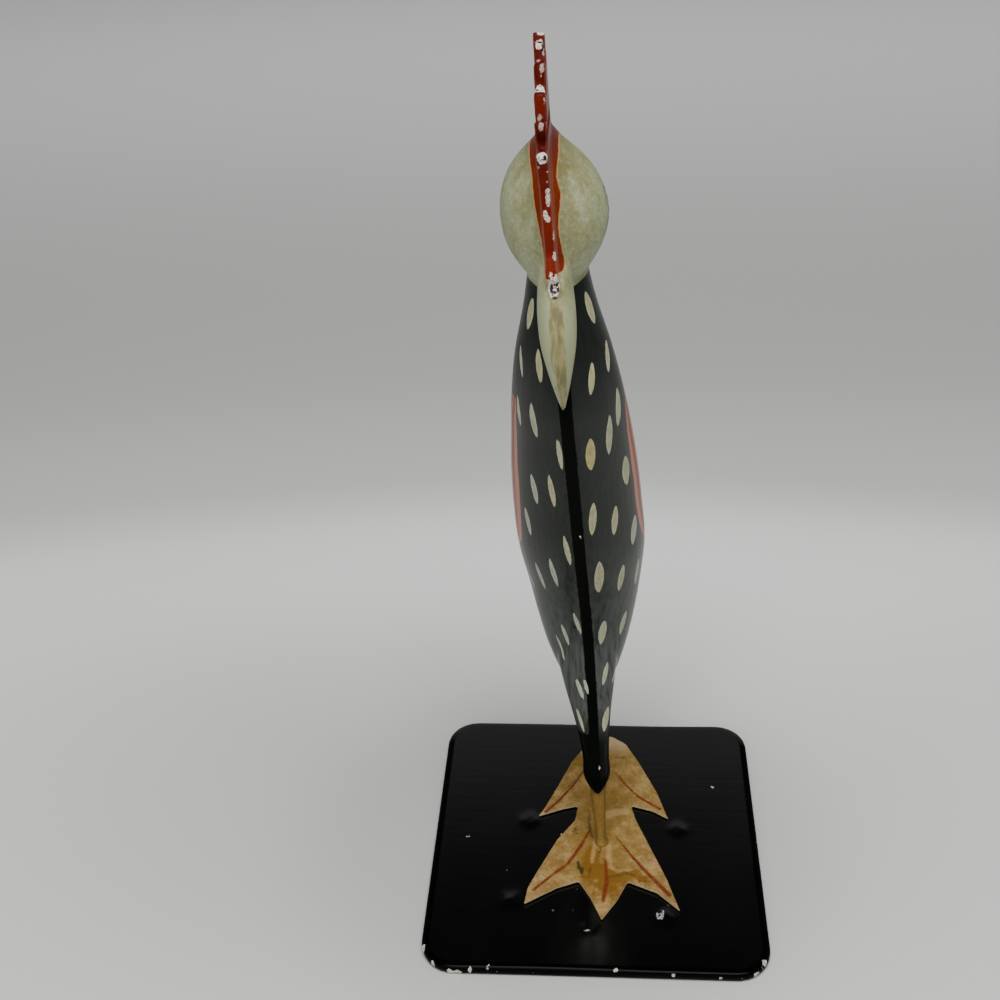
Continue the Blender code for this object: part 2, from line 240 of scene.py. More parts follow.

# Worn places on the comb's front edge: pixel, width and height in pixels, and how white they are; the greyer
# ones under the teeth are also darkened as painted shade
SEEN_COMB_WEAR = (
    (541, 31.5, 8, 5, 1.0), (539.5, 44.5, 8, 8, 1.0), (543.2, 51, 2.4, 7, 0.6), (538.5, 61, 5, 2.2, 0.4),
    (541.8, 67.5, 4.6, 9, 0.25), (541, 76, 1.8, 2.5, 0.3), (539.7, 91.5, 10, 10.5, 1.0),
    (544.4, 100.5, 1.6, 6, 0.5), (539.5, 118, 4.5, 6, 0.3), (541, 126, 5, 8, 0.3), (542, 156, 11, 14, 1.0),
    (538.5, 168, 1.8, 4.5, 0.5), (547.3, 171.5, 2.6, 2, 0.6), (547, 182, 2.4, 2, 0.5),
    (547.8, 191, 4.5, 5, 0.9), (548, 199, 5, 14, 0.9), (545.5, 214, 5, 7, 0.9), (547.5, 219, 6, 6, 0.9),
    (554, 236, 2.4, 9, 0.6), (555, 256, 4.6, 8, 0.8), (553.7, 287, 12, 19, 0.9), (551, 276.5, 3.4, 7, 0.9),
    (556.4, 277.5, 3.0, 6, 0.9),
)

# Bare dark metal inside the worn places: pixel, width and height in pixels
SEEN_BARE = (
    (541.3, 31.2, 4, 1.6), (539, 42, 4.8, 2.2), (542.4, 46.5, 2.4, 8), (537.3, 90, 2.6, 2.0),
    (541, 89.6, 2.4, 1.8), (538.3, 92.8, 2.0, 2.0), (542.8, 93.4, 2.2, 2.0), (540.6, 152, 2.0, 4.5),
    (545, 157.5, 3.6, 5), (541.5, 159.5, 2.0, 3), (544.8, 151.6, 1.8, 2.4), (538.6, 157.6, 1.6, 2.4),
    (551.6, 289.5, 3.2, 9), (557, 284.5, 3.6, 5), (558, 290, 2.6, 6), (554.6, 292.3, 4.6, 2.2),
    (554.4, 285, 1.8, 3), (554.8, 298, 5.6, 3.2),
)

# Toe lines on the feet: pixels along each line, each with the line's width there
SEEN_TOE_LINES = (
    ((590.6, 828.6, 1.8), (579.7, 847.6, 3.4), (567.5, 864, 3.4), (551, 876, 3.2), (533.6, 889.7, 3.0)),
    ((605.5, 861.2, 2.0), (606.8, 881.6, 4.2), (603, 900.6, 3.6)),
    ((615, 835.4, 1.0), (632.6, 857.2, 3.0), (650.3, 876, 4.0), (669.3, 895, 4.2)),
    ((583.8, 770.3, 1.6), (574.3, 783.9, 2.6), (559.4, 800.1, 2.8), (545.8, 811.7, 3.2)),
    ((613.6, 770.3, 1.0), (627.2, 786.6, 2.2), (639.4, 797.4, 2.6), (659.8, 809, 3.2)),
)

# Solder lumps on the feet: pixel, radius in pixels, height in millimetres
SEEN_LUMPS = (
    (590.6, 850, 9, 0.35), (603, 846, 5, 0.30), (605.5, 856, 5, 0.32), (609, 866, 5.5, 0.38),
    (616, 872, 5.5, 0.35), (624, 873, 5, 0.28), (631, 871, 5, 0.2), (614, 858, 10, 0.25),
)

# Stains on the feet, after a dark spot where the front leg stands on them: pixel, width and height in
# pixels, strength
SEEN_STAINS = (
    (601, 838, 5, 16, 0.55), (578.3, 865, 4, 7, 0.75), (581.5, 870.5, 5, 7, 0.75), (604, 823, 3, 7, 0.8),
    (575, 831, 8, 8, 0.55), (590, 826, 5, 10, 0.4), (612, 836, 4, 6, 0.45), (569, 840, 6, 7, 0.4),
    (634, 792, 8, 6, 0.35), (612, 762, 9, 5, 0.4), (560, 795, 7, 6, 0.35), (646, 883, 18, 12, 0.46),
    (618, 806, 14, 10, 0.44), (583, 848, 12, 10, 0.42),
)
SEEN_OCHRE = ((598, 872, 34, 22), (620, 877, 44, 12), (604, 882, 24, 22), (594, 858, 14, 20))

# Painted shade in the creases and painted highlights on the ridges of the solder on the feet: pixels along
# each, with the width there
SEEN_CREASE_SHADE = (
    ((591.5, 794, 2.0), (593.5, 804, 3.0), (597.5, 816, 2.0)),
    ((589, 812, 1.5), (589.5, 828, 2.5), (593, 838, 1.5)),
    ((605, 800, 1.0), (603.5, 812, 2.0), (604, 828, 2.5)),
    ((602, 832, 2.5), (600, 842, 3.5), (600.5, 853, 2.0)),
    ((606.5, 877, 1.5), (616, 876, 2.0), (627, 873.5, 2.4), (635, 875.5, 1.5)),
    ((590, 868, 1.5), (588, 877, 1.5)),
    ((616, 758, 2.0), (624, 757.5, 1.5)),
    ((566, 789, 2.0), (575, 780, 1.5)),
)
SEEN_RIDGE_HIGHLIGHTS = (
    ((609, 846, 4.0), (608.5, 857, 5.0), (611, 867, 5.0), (617, 871.5, 4.0), (631, 870, 2.5)),
    ((596, 838, 3.0), (593.5, 853, 4.0), (592, 862, 3.0)),
    ((607, 815, 8.0), (616, 812, 9.0), (627, 812, 7.0)),
)

# Parts of the feet, as a start and its reach in millimetres: heel and toe tips along y, outer parts along x
HEEL = (33, 6)
TOE_TIPS = (-22, -7)
OUTER_PARTS = (4, 15)

# The plate's near and far edges, as a start and its reach in millimetres, and how far they are dented
NEAR_EDGE = (-38, -12)
FAR_EDGE = (38, 12)
NEAR_DENT = 0.35 * MM
FAR_DENT = 0.5 * MM

# Low bumps in the plate's paint near the toes: pixel, radius in pixels, height in millimetres
SEEN_BUMPS = (
    (530, 820, 9, 0.22), (678, 829, 8, 0.22), (511, 899, 9, 0.22), (589, 929, 8, 0.22), (666, 917, 9, 0.22),
)

# Chips in the plate's paint: pixel, width and height in pixels, and how white they are
SEEN_PLATE_CHIPS = (
    (450, 971.4, 5, 5, 1.0), (457, 972.3, 9, 4.6, 0.9), (470, 970.4, 4.4, 4.6, 1.0),
    (487.8, 967.6, 2.4, 3.6, 0.6), (423, 949, 4, 6, 0.9), (433, 964, 4, 4, 0.9), (615.6, 970, 4, 3, 0.8),
    (673, 975.5, 3, 3, 0.7), (721, 978, 3, 3, 0.7), (757, 974, 18, 3, 0.9), (765, 963, 5, 5, 0.8),
    (712.5, 787, 3, 2, 0.5), (467.6, 836.5, 4, 1.5, 0.35), (507, 871, 1.8, 1.8, 0.12),
    (553, 910.5, 1.8, 1.8, 0.10), (573.5, 910.5, 1.8, 1.8, 0.08), (577, 889, 1.8, 1.8, 0.08),
    (657.5, 914.5, 3, 4, 0.5), (662.5, 914, 3, 5, 0.45), (660, 918, 5, 3, 0.4), (668, 906, 2, 2, 0.15),
    (561.8, 836.5, 2.6, 6, 0.35), (587.5, 931, 6, 2, 0.5),
)

# Small white chips on the bird: pixel, width and height in pixels, and how white they are
SEEN_BODY_CHIPS = ((580.5, 537, 3, 4, 0.9), (599.5, 768, 2.2, 4, 0.7))

# A pixel in the middle of each piece, towards which a pixel just outside it is moved in small steps
FIGURE_MIDDLE = (575, 450)
FEET_MIDDLE = (603, 846)
PLATE_MIDDLE = (595, 850)
SEARCH_STEP = 0.4
SEARCH_LIMIT = 60

# What a spot's height in pixels is divided by for half of its real height, on the comb and on the plate, and
# how flat a level circle looks
WEAR_TALL_SHARE = 1.6
CHIP_TALL_SHARE = 1.4
LEVEL_SQUASH = 0.62

# The value of a distance field far outside of its shape, in millimetres
OUTSIDE = -9.0

# Red band beside the comb: height, then its reach to the right and to the left of the comb's middle
RED_BAND = (
    (195.0, 1.4, 1.5), (199.4, 1.7, 1.5), (200.2, 2.5, 1.5), (201.2, 2.75, 1.5), (203.5, 2.45, 1.5),
    (207.0, 2.05, 1.8), (209.3, 1.95, 2.1), (211.8, 2.2, 2.5), (213.5, 2.55, 2.75), (215.6, 2.75, 2.95),
    (217.4, 2.3, 3.05), (219.0, 2.0, 3.15), (221.7, 2.5, 3.8),
)
RED_END = 199.9

# Heights between which the comb's front gets painted shade in the hollows between its teeth, is darker near
# its top, and gets painted light on the faces of its teeth
COMB_SHADE_HEIGHTS = (227, 229, 231.2, 233)
COMB_TOP_DARK_HEIGHTS = (237.4, 238.2, 241.0, 242.0)
COMB_LIT_HEIGHTS = (219.5, 221.0, 225.5, 227.0, 232.6, 233.6, 236.0, 237.0)

# Wing in side view, in millimetres: height, front edge y of the right wing, of the left wing, back edge y
WING_ROWS = (
    (87, 31.0, 31.0, 31.6),
    (91, 26.5, 26.0, 32.0),
    (98, 19.0, 18.5, 31.4),
    (105, 11.8, 10.8, 29.8),
    (109.5, 8.8, 6.6, 28.5),
    (114, 6.6, 4.8, 27.0),
    (122, 3.9, 2.2, 24.0),
    (131, 1.5, -0.3, 20.5),
    (140, -1.2, -2.6, 16.5),
    (148, -3.4, -4.9, 12.0),
    (155, -4.4, -7.0, 7.0),
    (158.5, -3.4, -8.2, 2.5),
    (162, -2.2, -8.6, -4.0),
)
WING_LINES = (0.14, 0.36, 0.6, 0.83)

# Where other paints of the bird begin and end, in millimetres of height, or as a start and its reach
BEAK_HEIGHTS = (160, 204)
BEAK_FADE = (197, -5)
BEAK_RIDGE_TOP = 198
COMB_FOOT = 196
CROWN_FOOT = 212
COMB_HIGH = (220, 5)
BESIDE_COMB = (210, 6)
STRIP_HEIGHTS = (19, 185)
LEFT_FACET_TOP = 43
LOWER_LEG = (51, -11)
# Where the painted reflection of the floor begins low on the body, and its reach
LOW_FLOOR_SHEEN = (118, -50)
WING_LINE_FOOT = 92
TAIL_HEIGHTS = (85, 172)
LEG_TOP = 21.7

# Eye: place in the figure's own frame, in millimetres, and its radius
EYE_PLACE = (12.0, -2.6, 208.4)
EYE_RADIUS = 2.9

# Where the skin is made finer for the worn places: depth behind the comb's front edge and lowest height
FINE_DEPTH = 2.6
FINE_LOWEST = 194.0


def length(name, description, default):
    return FloatProperty(name=name, description=description, default=default, unit="LENGTH")


class RoosterSizes(bpy.types.PropertyGroup):
    figure_cell: length("Figure Cell", "Spacing of the figure's fine mesh", 0.588 * MM)
    feet_cell: length("Feet Cell", "Spacing of the feet's fine mesh", 0.34 * MM)
    plate_cell: length("Plate Cell", "Spacing of the plate's fine mesh", 0.6 * MM)
    plate_corner: length("Plate Corner", "Radius of the plate's corners", 10.0 * MM)
    plate_arris: length("Plate Edge", "Radius that eases the plate's edges", 0.9 * MM)


def tone(name, description, default):
    return FloatVectorProperty(
        name=name, description=description, default=default, size=3, subtype="COLOR", min=0.0, max=1.0
    )


class RoosterColours(bpy.types.PropertyGroup):
    body: tone("Body", "Satin grey-black of the body", (0.0045, 0.0062, 0.005))
    body_light: tone("Body Brushed", "Brushed grey of the body", (0.0125, 0.0155, 0.0135))
    body_floor_sheen: tone("Body Low", "Thin grey low on the body", (0.060, 0.066, 0.060))
    # Painted reflection of the pale floor: lighter grey low on the body
    strip: tone("Strip", "Black of the front strip", (0.0012, 0.002, 0.0012))
    mark: tone("Marks", "Grey cream of the brush marks", (0.40, 0.43, 0.33))
    mark_warm: tone("Marks Warm", "Yellow cream of the brush marks", (0.50, 0.42, 0.16))
    head: tone("Head", "Pale green white of the head", (0.210, 0.212, 0.095))
    head_light: tone("Head Light", "Lightest paint of the head", (0.298, 0.320, 0.182))
    beak: tone("Beak", "Pale green white of the beak", (0.345, 0.360, 0.205))
    head_grime: tone("Head Grime", "Olive stain on the head", (0.165, 0.135, 0.045))
    ridge: tone("Beak Ridge", "Olive along the beak", (0.26, 0.21, 0.075))
    ridge_deep: tone("Beak Strokes", "Brown strokes along the beak", (0.12, 0.085, 0.03))
    comb: tone("Comb", "Orange red of the comb", (0.17, 0.026, 0.005))
    comb_deep: tone("Comb Deep", "Deeper red in the comb", (0.14, 0.011, 0.004))
    comb_front: tone("Comb Front", "Dark red of the comb's front", (0.095, 0.005, 0.002))
    comb_edge: tone("Comb Edge", "Dark red of the comb's upper sides", (0.085, 0.006, 0.003))
    comb_line: tone("Comb Line", "Tan line beside the comb", (0.45, 0.24, 0.09))
    wing: tone("Wing", "Salmon of the wings", (0.37, 0.115, 0.075))
    wing_light: tone("Wing Light", "Lighter salmon of the wings", (0.50, 0.20, 0.13))
    wing_line: tone("Wing Lines", "Dark red lines on the wings", (0.15, 0.022, 0.02))
    feet: tone("Feet", "Tan of the feet", (0.202, 0.122, 0.032))
    feet_pale: tone("Feet Pale", "Pale tan towards the toes", (0.340, 0.230, 0.083))
    feet_golden: tone("Feet Golden", "Golden brown inside the feet", (0.170, 0.092, 0.012))
    feet_ochre: tone("Feet Ochre", "Ochre patch at the middle toe", (0.150, 0.062, 0.003))
    feet_grime: tone("Feet Grime", "Olive grime on the feet", (0.105, 0.066, 0.014))
    toe_line: tone("Toe Lines", "Brown red of the toe lines", (0.13, 0.024, 0.006))
    plate: tone("Plate", "Black of the plate", (0.0004, 0.0007, 0.0004))
    plate_light: tone("Plate Light", "Worn black of the plate", (0.0009, 0.0013, 0.0008))
    stage: tone("Stage", "Pale grey of the floor", (0.64, 0.65, 0.62))


def clear_selection():
    if bpy.context.object and bpy.context.object.mode != "OBJECT":
        bpy.ops.object.mode_set(mode="OBJECT")
    bpy.ops.object.select_all(action="DESELECT")


def select_only(things):
    clear_selection()
    for thing in things:
        thing.select_set(True)
    bpy.context.view_layer.objects.active = things[0]


def added(name):
    """The object that an operator has just added, named."""
    thing = bpy.context.object
    thing.name = thing.data.name = name
    return thing


def select_parts(thing, kind, wanted):
    """Selects the edges or the faces of a mesh in edit mode that a test picks among them."""
    bpy.ops.mesh.select_mode(type=kind)
    bpy.ops.mesh.select_all(action="DESELECT")
    mesh = bmesh.from_edit_mesh(thing.data)
    parts = mesh.edges if kind == "EDGE" else mesh.faces
    for part, chosen in zip(parts, wanted(parts)):
        part.select_set(bool(chosen))
    mesh.select_flush_mode()
    bmesh.update_edit_mesh(thing.data)


def apply_modifier(thing, kind, **settings):
    select_only([thing])
    modifier = thing.modifiers.new(kind.title(), kind)
    for name, value in settings.items():
        setattr(modifier, name, value)
    bpy.ops.object.modifier_apply(modifier=modifier.name)


def lean_matrix():
    """From the figure's own upright frame, in millimetres, to the row frame, in metres."""
    top = Matrix.Translation((0, 0, PLATE_TOP))
    turned = Matrix.Translation((OFFSET_X * MM, 0, 0)) @ Matrix.Rotation(-LEAN, 4, "Y")
    return top @ turned @ Matrix.Scale(MM, 4)


def moved(points, matrix):
    """An array of points, taken through a matrix."""
    place = np.array(matrix)
    return points @ place[:3, :3].T + place[:3, 3]


def level_ring(x, y, height):
    """A ring of places at one height of the figure's own frame, in the row frame."""
    return moved(np.column_stack([x, y, np.full(len(x), height)]), lean_matrix())


def positions(thing):
    flat = np.zeros(len(thing.data.vertices) * 3, np.float32)
    thing.data.vertices.foreach_get("co", flat)
    return flat.reshape(-1, 3).astype(float)


def set_positions(thing, points):
    thing.data.vertices.foreach_set("co", points.astype(np.float32).ravel())
    thing.data.update()


def set_fields(thing, **fields):
    """Values for each point, which the paint reads. Distances are in millimetres, positive inside."""
    for name, values in fields.items():
        attribute = thing.data.attributes.new(name, "FLOAT", "POINT")
        attribute.data.foreach_set("value", np.asarray(values, np.float32))


def common(*fields):
    """What some fields have in common: the smallest value at each point."""
    return reduce(np.minimum, fields)


def either(*fields):
    """What any of some fields covers: the largest value at each point."""
    return reduce(np.maximum, fields)


def ramp(values, start, reach):
    """0 at the start and 1 at a reach from it, on the side that the reach's sign tells."""
    return np.clip((values - start) / reach, 0, 1)


def between(first, last, along):
    return first + (last - first) * along


def smooth_curve(stations, heights):
    """The stations' values at the given heights, on smooth curves that run through them."""
    rows = np.array(stations, float)[::-1]
    level = rows[:, 0]
    slopes = np.gradient(rows, level, axis=0)
    heights = np.clip(heights, level[0], level[-1])
    index = np.clip(np.searchsorted(level, heights) - 1, 0, len(level) - 2)
    span = level[index + 1] - level[index]
    t = ((heights - level[index]) / span)[:, None]
    lower, upper = [slopes[place] * span[:, None] for place in (index, index + 1)]
    return (
        (2 * t**3 - 3 * t**2 + 1) * rows[index]
        + (t**3 - 2 * t**2 + t) * lower
        + (3 * t**2 - 2 * t**3) * rows[index + 1]
        + (t**3 - t**2) * upper
    )


def almond(front, back, half, strip, aside):
    """One level section: a flat strip in front, swelling sides and a narrow back edge."""
    back_half = min(BACK_EDGE_HALF, 0.8 * strip)
    power = math.log(0.5) / math.log(WIDEST_PLACE)
    along = (1 - np.cos(np.linspace(0, math.pi, SECTION_STEPS + 1))) / 2
    edge = between(strip, back_half, along)
    swell = np.maximum(np.sin(math.pi * along**power), 0) ** SECTION_FULLNESS
    x = edge + (half - edge) * swell
    y = between(front, back, along)
    return np.concatenate([x + aside, (aside - x)[::-1]]), np.concatenate([y, y[::-1]])


def drawn_form(name, rings):
    """A closed form drawn out from a filled outline, ring after ring, in the row frame."""
    clear_selection()
    bpy.ops.mesh.primitive_circle_add(vertices=len(rings[0]), fill_type="NGON")
    form = added(name)
    bpy.ops.object.mode_set(mode="EDIT")
    for index, ring in enumerate(rings):
        if index:
            bpy.ops.mesh.extrude_region_move()
        mesh = bmesh.from_edit_mesh(form.data)
        cap = next(face for face in mesh.faces if face.select)
        for vert, place in zip(cap.verts, ring):
            vert.co = place
        bmesh.update_edit_mesh(form.data)
    bpy.ops.mesh.select_all(action="SELECT")
    bpy.ops.mesh.normals_make_consistent(inside=False)
    bpy.ops.object.mode_set(mode="OBJECT")
    return form


def lofted(name, stations):
    """A form drawn out through the level sections of its stations."""
    top, foot = stations[0][0], stations[-1][0]
    heights = np.linspace(top, foot, max(int((top - foot) / RING_SPACING), 8))
    curve = smooth_curve(stations, heights)
    return drawn_form(name, [level_ring(*almond(*section), height) for height, *section in curve])


def scalloped(tips, centre, valley):
    """Rounded tips with a rounded hollow between each two, drawn in towards the centre."""
    outline = []
    for tip, following in zip(tips, tips[1:]):
        for along in np.arange(SCALLOP_STEPS) / SCALLOP_STEPS:
            place = Vector(tip).lerp(Vector(following), along)
            inward = (Vector(centre) - place).normalized()
            outline.append(tuple(place + inward * valley * math.sin(math.pi * along) ** 2))
    outline.append(tips[-1])
    return outline


def upright_plate(name, outline, half_thickness, aside):
    """A plate in the bird's own plane, cut to an outline of (y, height), with its half thickness at each."""
    sides = [[(aside + side * half_thickness(y, z), y, z) for y, z in outline] for side in (-1, 1)]
    return drawn_form(name, [moved(np.array(ring, float), lean_matrix()) for ring in sides])


def behind_comb_front(y, height):
    """How far a place lies behind the line of the comb's front edge."""
    edge = np.array(COMB_RIDGE[:1] + COMB_TIPS[: COMB_PEAK + 1])
    return y - np.interp(height, edge[:, 1], edge[:, 0])


def comb_half(y, height):
    """Half of the comb's thickness, which lessens behind its front edge."""
    along = np.clip(behind_comb_front(y, height) / COMB_DEPTH, 0, 1)
    return COMB_THICK / 2 * (1 - COMB_THINNING * along)


def side_shift(height):
    """How far the head's sections are moved aside at a height above or below its middle."""
    return np.where(height > 0, CROWN_SIDE_LEAN, CHIN_SIDE_LEAN) * height


def crest(above, aside):
    """How far the crown rises, most in its middle."""
    return CREST_RISE * above * np.exp(-((aside / CREST_HALF) ** 2))


def head_form():
    """The egg-shaped head, drawn out towards the comb so that the comb rises from it in a soft hollow."""
    clear_selection()
    bpy.ops.mesh.primitive_uv_sphere_add(segments=192, ring_count=96, radius=1.0)
    form = added("head_form")
    points = positions(form)
    under_comb = ramp(points[:, 2], -0.55, 0.25) * ramp(points[:, 1], 0.75, -0.2)
    above, below = np.maximum(points[:, 2], 0), np.maximum(-points[:, 2], 0)
    points[:, 0] *= HEAD_HALF[0] * (1 - CHIN_TAPER * below**2)
    points[:, 1] *= HEAD_HALF[1]
    points[:, 2] = HEAD_HALF[2] * above - HEAD_CHIN * below + crest(above, points[:, 0])
    points[:, 0] -= side_shift(points[:, 2])
    from_comb = np.abs(points[:, 0] + HEAD_CENTRE[0] - COMB_SHIFT_X)
    rise = np.minimum(COMB_FOOT_RISE * np.exp(-from_comb / COMB_FOOT_SPREAD), COMB_FOOT_LIMIT) * under_comb
    points *= 1 + (rise / np.linalg.norm(points, axis=1))[:, None]
    set_positions(form, moved(points + HEAD_CENTRE, lean_matrix()))
    return form


def shank_form(name, ends_y):
    """A flat leg that narrows downwards and spreads a little where it meets the foot."""
    foot = (FEET_HIGH.z - PLATE_TOP) / MM
    turns = np.linspace(0, 2 * math.pi, SHANK_SIDES, endpoint=False)
    rings = []
    for along in np.linspace(0, 1, SHANK_RINGS):
        height = between(SHANK_TOP, foot, along)
        flare = SHANK_FLARE * math.exp((foot - height) / SHANK_FLARE_HIGH)
        x = (between(*SHANK_HALF_X, along) + flare) * np.cos(turns)
        y = between(*ends_y, along) + (between(*SHANK_HALF_Y, along) + flare) * np.sin(turns)
        rings.append(level_ring(x, y, height))
    return drawn_form(name, rings)


def fuse(name, forms, cell):
    """Joins overlapping forms into one fine closed skin and eases its edges."""
    select_only(forms)
    bpy.ops.object.join()
    piece = added(name)
    apply_modifier(piece, "REMESH", mode="VOXEL", voxel_size=cell)
    apply_modifier(piece, "SMOOTH", factor=0.5, iterations=2)
    piece.data.shade_smooth()
    return piece


def camera_axes():
    tilt, roll, turn = CAMERA_TURNS
    return Matrix.Rotation(turn, 3, "Z") @ Matrix.Rotation(tilt, 3, "X") @ Matrix.Rotation(roll, 3, "Z")


def sight(u, v):
    """The direction from the camera through a pixel of the photograph."""
    half = IMAGE_SIDE / 2
    return (camera_axes() @ Vector((u - half, half - v, -FOCAL_PIXELS))).normalized()


class Seen:
    """A piece as the camera sees it, and a pixel in its middle, towards which pixels beside it are moved."""

    def __init__(self, piece, middle):
        self.tree = BVHTree.FromObject(piece, bpy.context.evaluated_depsgraph_get())
        self.middle = middle

    def at(self, u, v):
        """The place that is seen at a pixel, and the size of a pixel there."""
        reach_u, reach_v = self.middle[0] - u, self.middle[1] - v
        step = SEARCH_STEP / max(math.hypot(reach_u, reach_v), SEARCH_STEP)
        for along in np.arange(SEARCH_LIMIT) * step:
            ray = sight(u + reach_u * along, v + reach_v * along)
            place, _, _, reach = self.tree.ray_cast(CAMERA_SPOT, ray)
            if place is not None:
                return place, reach / FOCAL_PIXELS
        raise RuntimeError(f"nothing is seen near pixel {u}, {v}")

    def spots(self, rows):
        """For each row: the place seen at its pixel, the size of a pixel there, and the rest of the row."""
        return [(*self.at(u, v), *rest) for u, v, *rest in rows]

    def hides(self, place):
        """Whether the piece itself stands between the camera and a place on it."""
        ray = place - CAMERA_SPOT
        reach = self.tree.ray_cast(CAMERA_SPOT, ray.normalized())[3]
        return reach is not None and reach <= ray.length - HIDDEN_DEPTH


def beside_line(points, start, end):
    """How far along a line each point lies, as a share of its length, and how far away from it."""
    start = np.array(start)
    run = np.array(end) - start
    along = (points - start) @ run / (run @ run)
    return along, np.linalg.norm(points - start - np.clip(along, 0, 1)[:, None] * run, axis=1)


def lens_mark(points, start, end, half_width):
    """Distance inside a lens-shaped brush mark between two places, in millimetres."""
    along, away = beside_line(points, start, end)
    return (half_width * np.clip(1 - (2 * along - 1) ** 2, 0, 1) ** 0.75 - away) / MM


def trail_field(points, seen, trails):
    """Distance inside lines that are drawn on the feet, in millimetres."""
    inside = np.full(len(points), OUTSIDE)
    for trail in trails:
        spots = seen.spots(trail)
        for (start, pixel, width), (end, _, end_width) in zip(spots, spots[1:]):
            along, away = beside_line(points, start, end)
            half = between(width, end_width, np.clip(along, 0, 1)) * pixel / 2
            inside = np.maximum(inside, (half - away) / MM)
    return inside


def oval_field(points, centre, half_wide, half_tall):
    """Distance inside an oval spot: wide along x, tall along the other two directions."""
    wide = (points[:, 0] - centre[0]) / half_wide
    tall = np.linalg.norm(points[:, 1:] - np.array(centre)[1:], axis=1) / half_tall
    return (1 - np.hypot(wide, tall)) * min(half_wide, half_tall) / MM


def worn_field(points, spots, tall_share, elsewhere, nearest=OUTSIDE):
    """Distance inside oval spots, and the whiteness of the closest one where it is near enough."""
    inside = np.full(len(points), OUTSIDE)
    white = np.full(len(points), elsewhere)
    for spot, pixel, wide, tall, whiteness in spots:
        oval = oval_field(points, spot, wide * pixel / 2, tall * pixel / tall_share)
        white = np.where((oval > inside) & (oval > nearest), whiteness, white)
        inside = np.maximum(inside, oval)
    return inside, white


def flat_oval(points, centre, pixel, wide, tall):
    """An oval on a level surface: 1 in its middle, 0 at its edge."""
    aside = (points[:, 0] - centre.x) / (wide * pixel / 2)
    return 1 - np.hypot(aside, (points[:, 1] - centre.y) / (tall * pixel / 2 / LEVEL_SQUASH))


def mounds(points, seen, rows, steepness):
    """The height of low round mounds at each point."""
    rise = np.zeros(len(points))
    for spot, pixel, radius, tall in seen.spots(rows):
        gap = np.linalg.norm((points - np.array(spot))[:, :2], axis=1) / (radius * pixel)
        rise += tall * MM * np.exp(-(gap**2) * steepness)
    return rise


def seen_marks(seen):
    """Ends, half width and yellowness of the brush marks that the photograph shows."""
    marks = []
    for u0, v0, u1, v1, width, warm in SEEN_MARKS:
        (start, _), (end, pixel) = seen.at(u0, v0), seen.at(u1, v1)
        left, right = [seen.at((u0 + u1) / 2 + side * width / 2, (v0 + v1) / 2)[0] for side in (-1, 1)]
        half = np.clip((right - left).length / 2, width * pixel * 0.5, width * pixel * 1.1) * MARK_FILL
        marks.append((start, end, half, warm))
    return marks


def hidden_marks(seen, marks):
    """The same for the marks on the sides that the photograph doesn't show, in rows down the body."""
    taken = [place for start, end, _, _ in marks for place in (start, (start + end) / 2, end)]
    matrix = lean_matrix()
    across = (matrix.to_3x3() @ Vector((1, 0, 0))).normalized()
    hidden = []
    for row, height in enumerate(np.arange(*HIDDEN_ROWS)):
        front, back = smooth_curve(BODY, np.array([height]))[0][1:3]
        first = between(front, back, HIDDEN_STARTS[row % 2])
        columns = np.arange(first, back - 1.5, (back - front) * HIDDEN_SPACING)
        for (column, y), side in product(enumerate(columns), (-1, 1)):
            ends = ((y, height), (y + HIDDEN_RUN[0], height + HIDDEN_RUN[1]))
            starts = [matrix @ Vector((side * FAR_ASIDE, *end)) for end in ends]
            top, foot = [seen.tree.ray_cast(start, across * -side)[0] for start in starts]
            if top is None or foot is None or not (seen.hides(top) and seen.hides(foot)):
                continue
            if min(((top + foot) / 2 - other).length for other in taken) > MARK_CLEARANCE:
                hidden.append((top, foot, HIDDEN_HALF, (row * 2 + column) % 5 / 8))
    return hidden


def wing_field(local):
    """Distance inside a wing's outline in side view, and the share of the way to its back edge."""
    level, right, left, rear = np.array(WING_ROWS).T
    x, y, z = local.T
    front = np.where(x > 0, np.interp(z, level, right), np.interp(z, level, left))
    back = np.interp(z, level, rear)
    inside = common(y - front, back - y, z - level[0], level[-1] - z)
    return inside, (y - front) / np.maximum(back - front, 0.5)


def at_comb_front(faces):
    centres = np.array([face.calc_center_median() for face in faces])
    x, y, z = moved(centres, lean_matrix().inverted()).T
    near = behind_comb_front(y, z) < FINE_DEPTH
    return near & (np.abs(x - COMB_SHIFT_X) < COMB_THICK * 0.75) & (z > FINE_LOWEST)


def refine_front(piece):
    """Makes the skin finer along the comb's front edge, where the paint is worn in small spots."""
    select_only([piece])
    bpy.ops.object.mode_set(mode="EDIT")
    select_parts(piece, "FACE", at_comb_front)
    bpy.ops.mesh.subdivide(number_cuts=2)
    bpy.ops.object.mode_set(mode="OBJECT")


def head_swell(local):
    """How far out each point lies from the middle of the head, whose surface is at 1."""
    head = local - HEAD_CENTRE
    head[:, 0] += side_shift(head[:, 2])
    head[:, 2] -= crest(np.clip(head[:, 2] / HEAD_HALF[2], 0, 1), head[:, 0])
    head /= HEAD_HALF
    chin = np.minimum(head[:, 2], 0) * HEAD_HALF[2] / HEAD_CHIN
    head[:, 2] = np.where(head[:, 2] > 0, head[:, 2], chin)
    head[:, 0] /= 1 - CHIN_TAPER * np.clip(chin, -1, 0) ** 2
    return np.linalg.norm(head, axis=1)


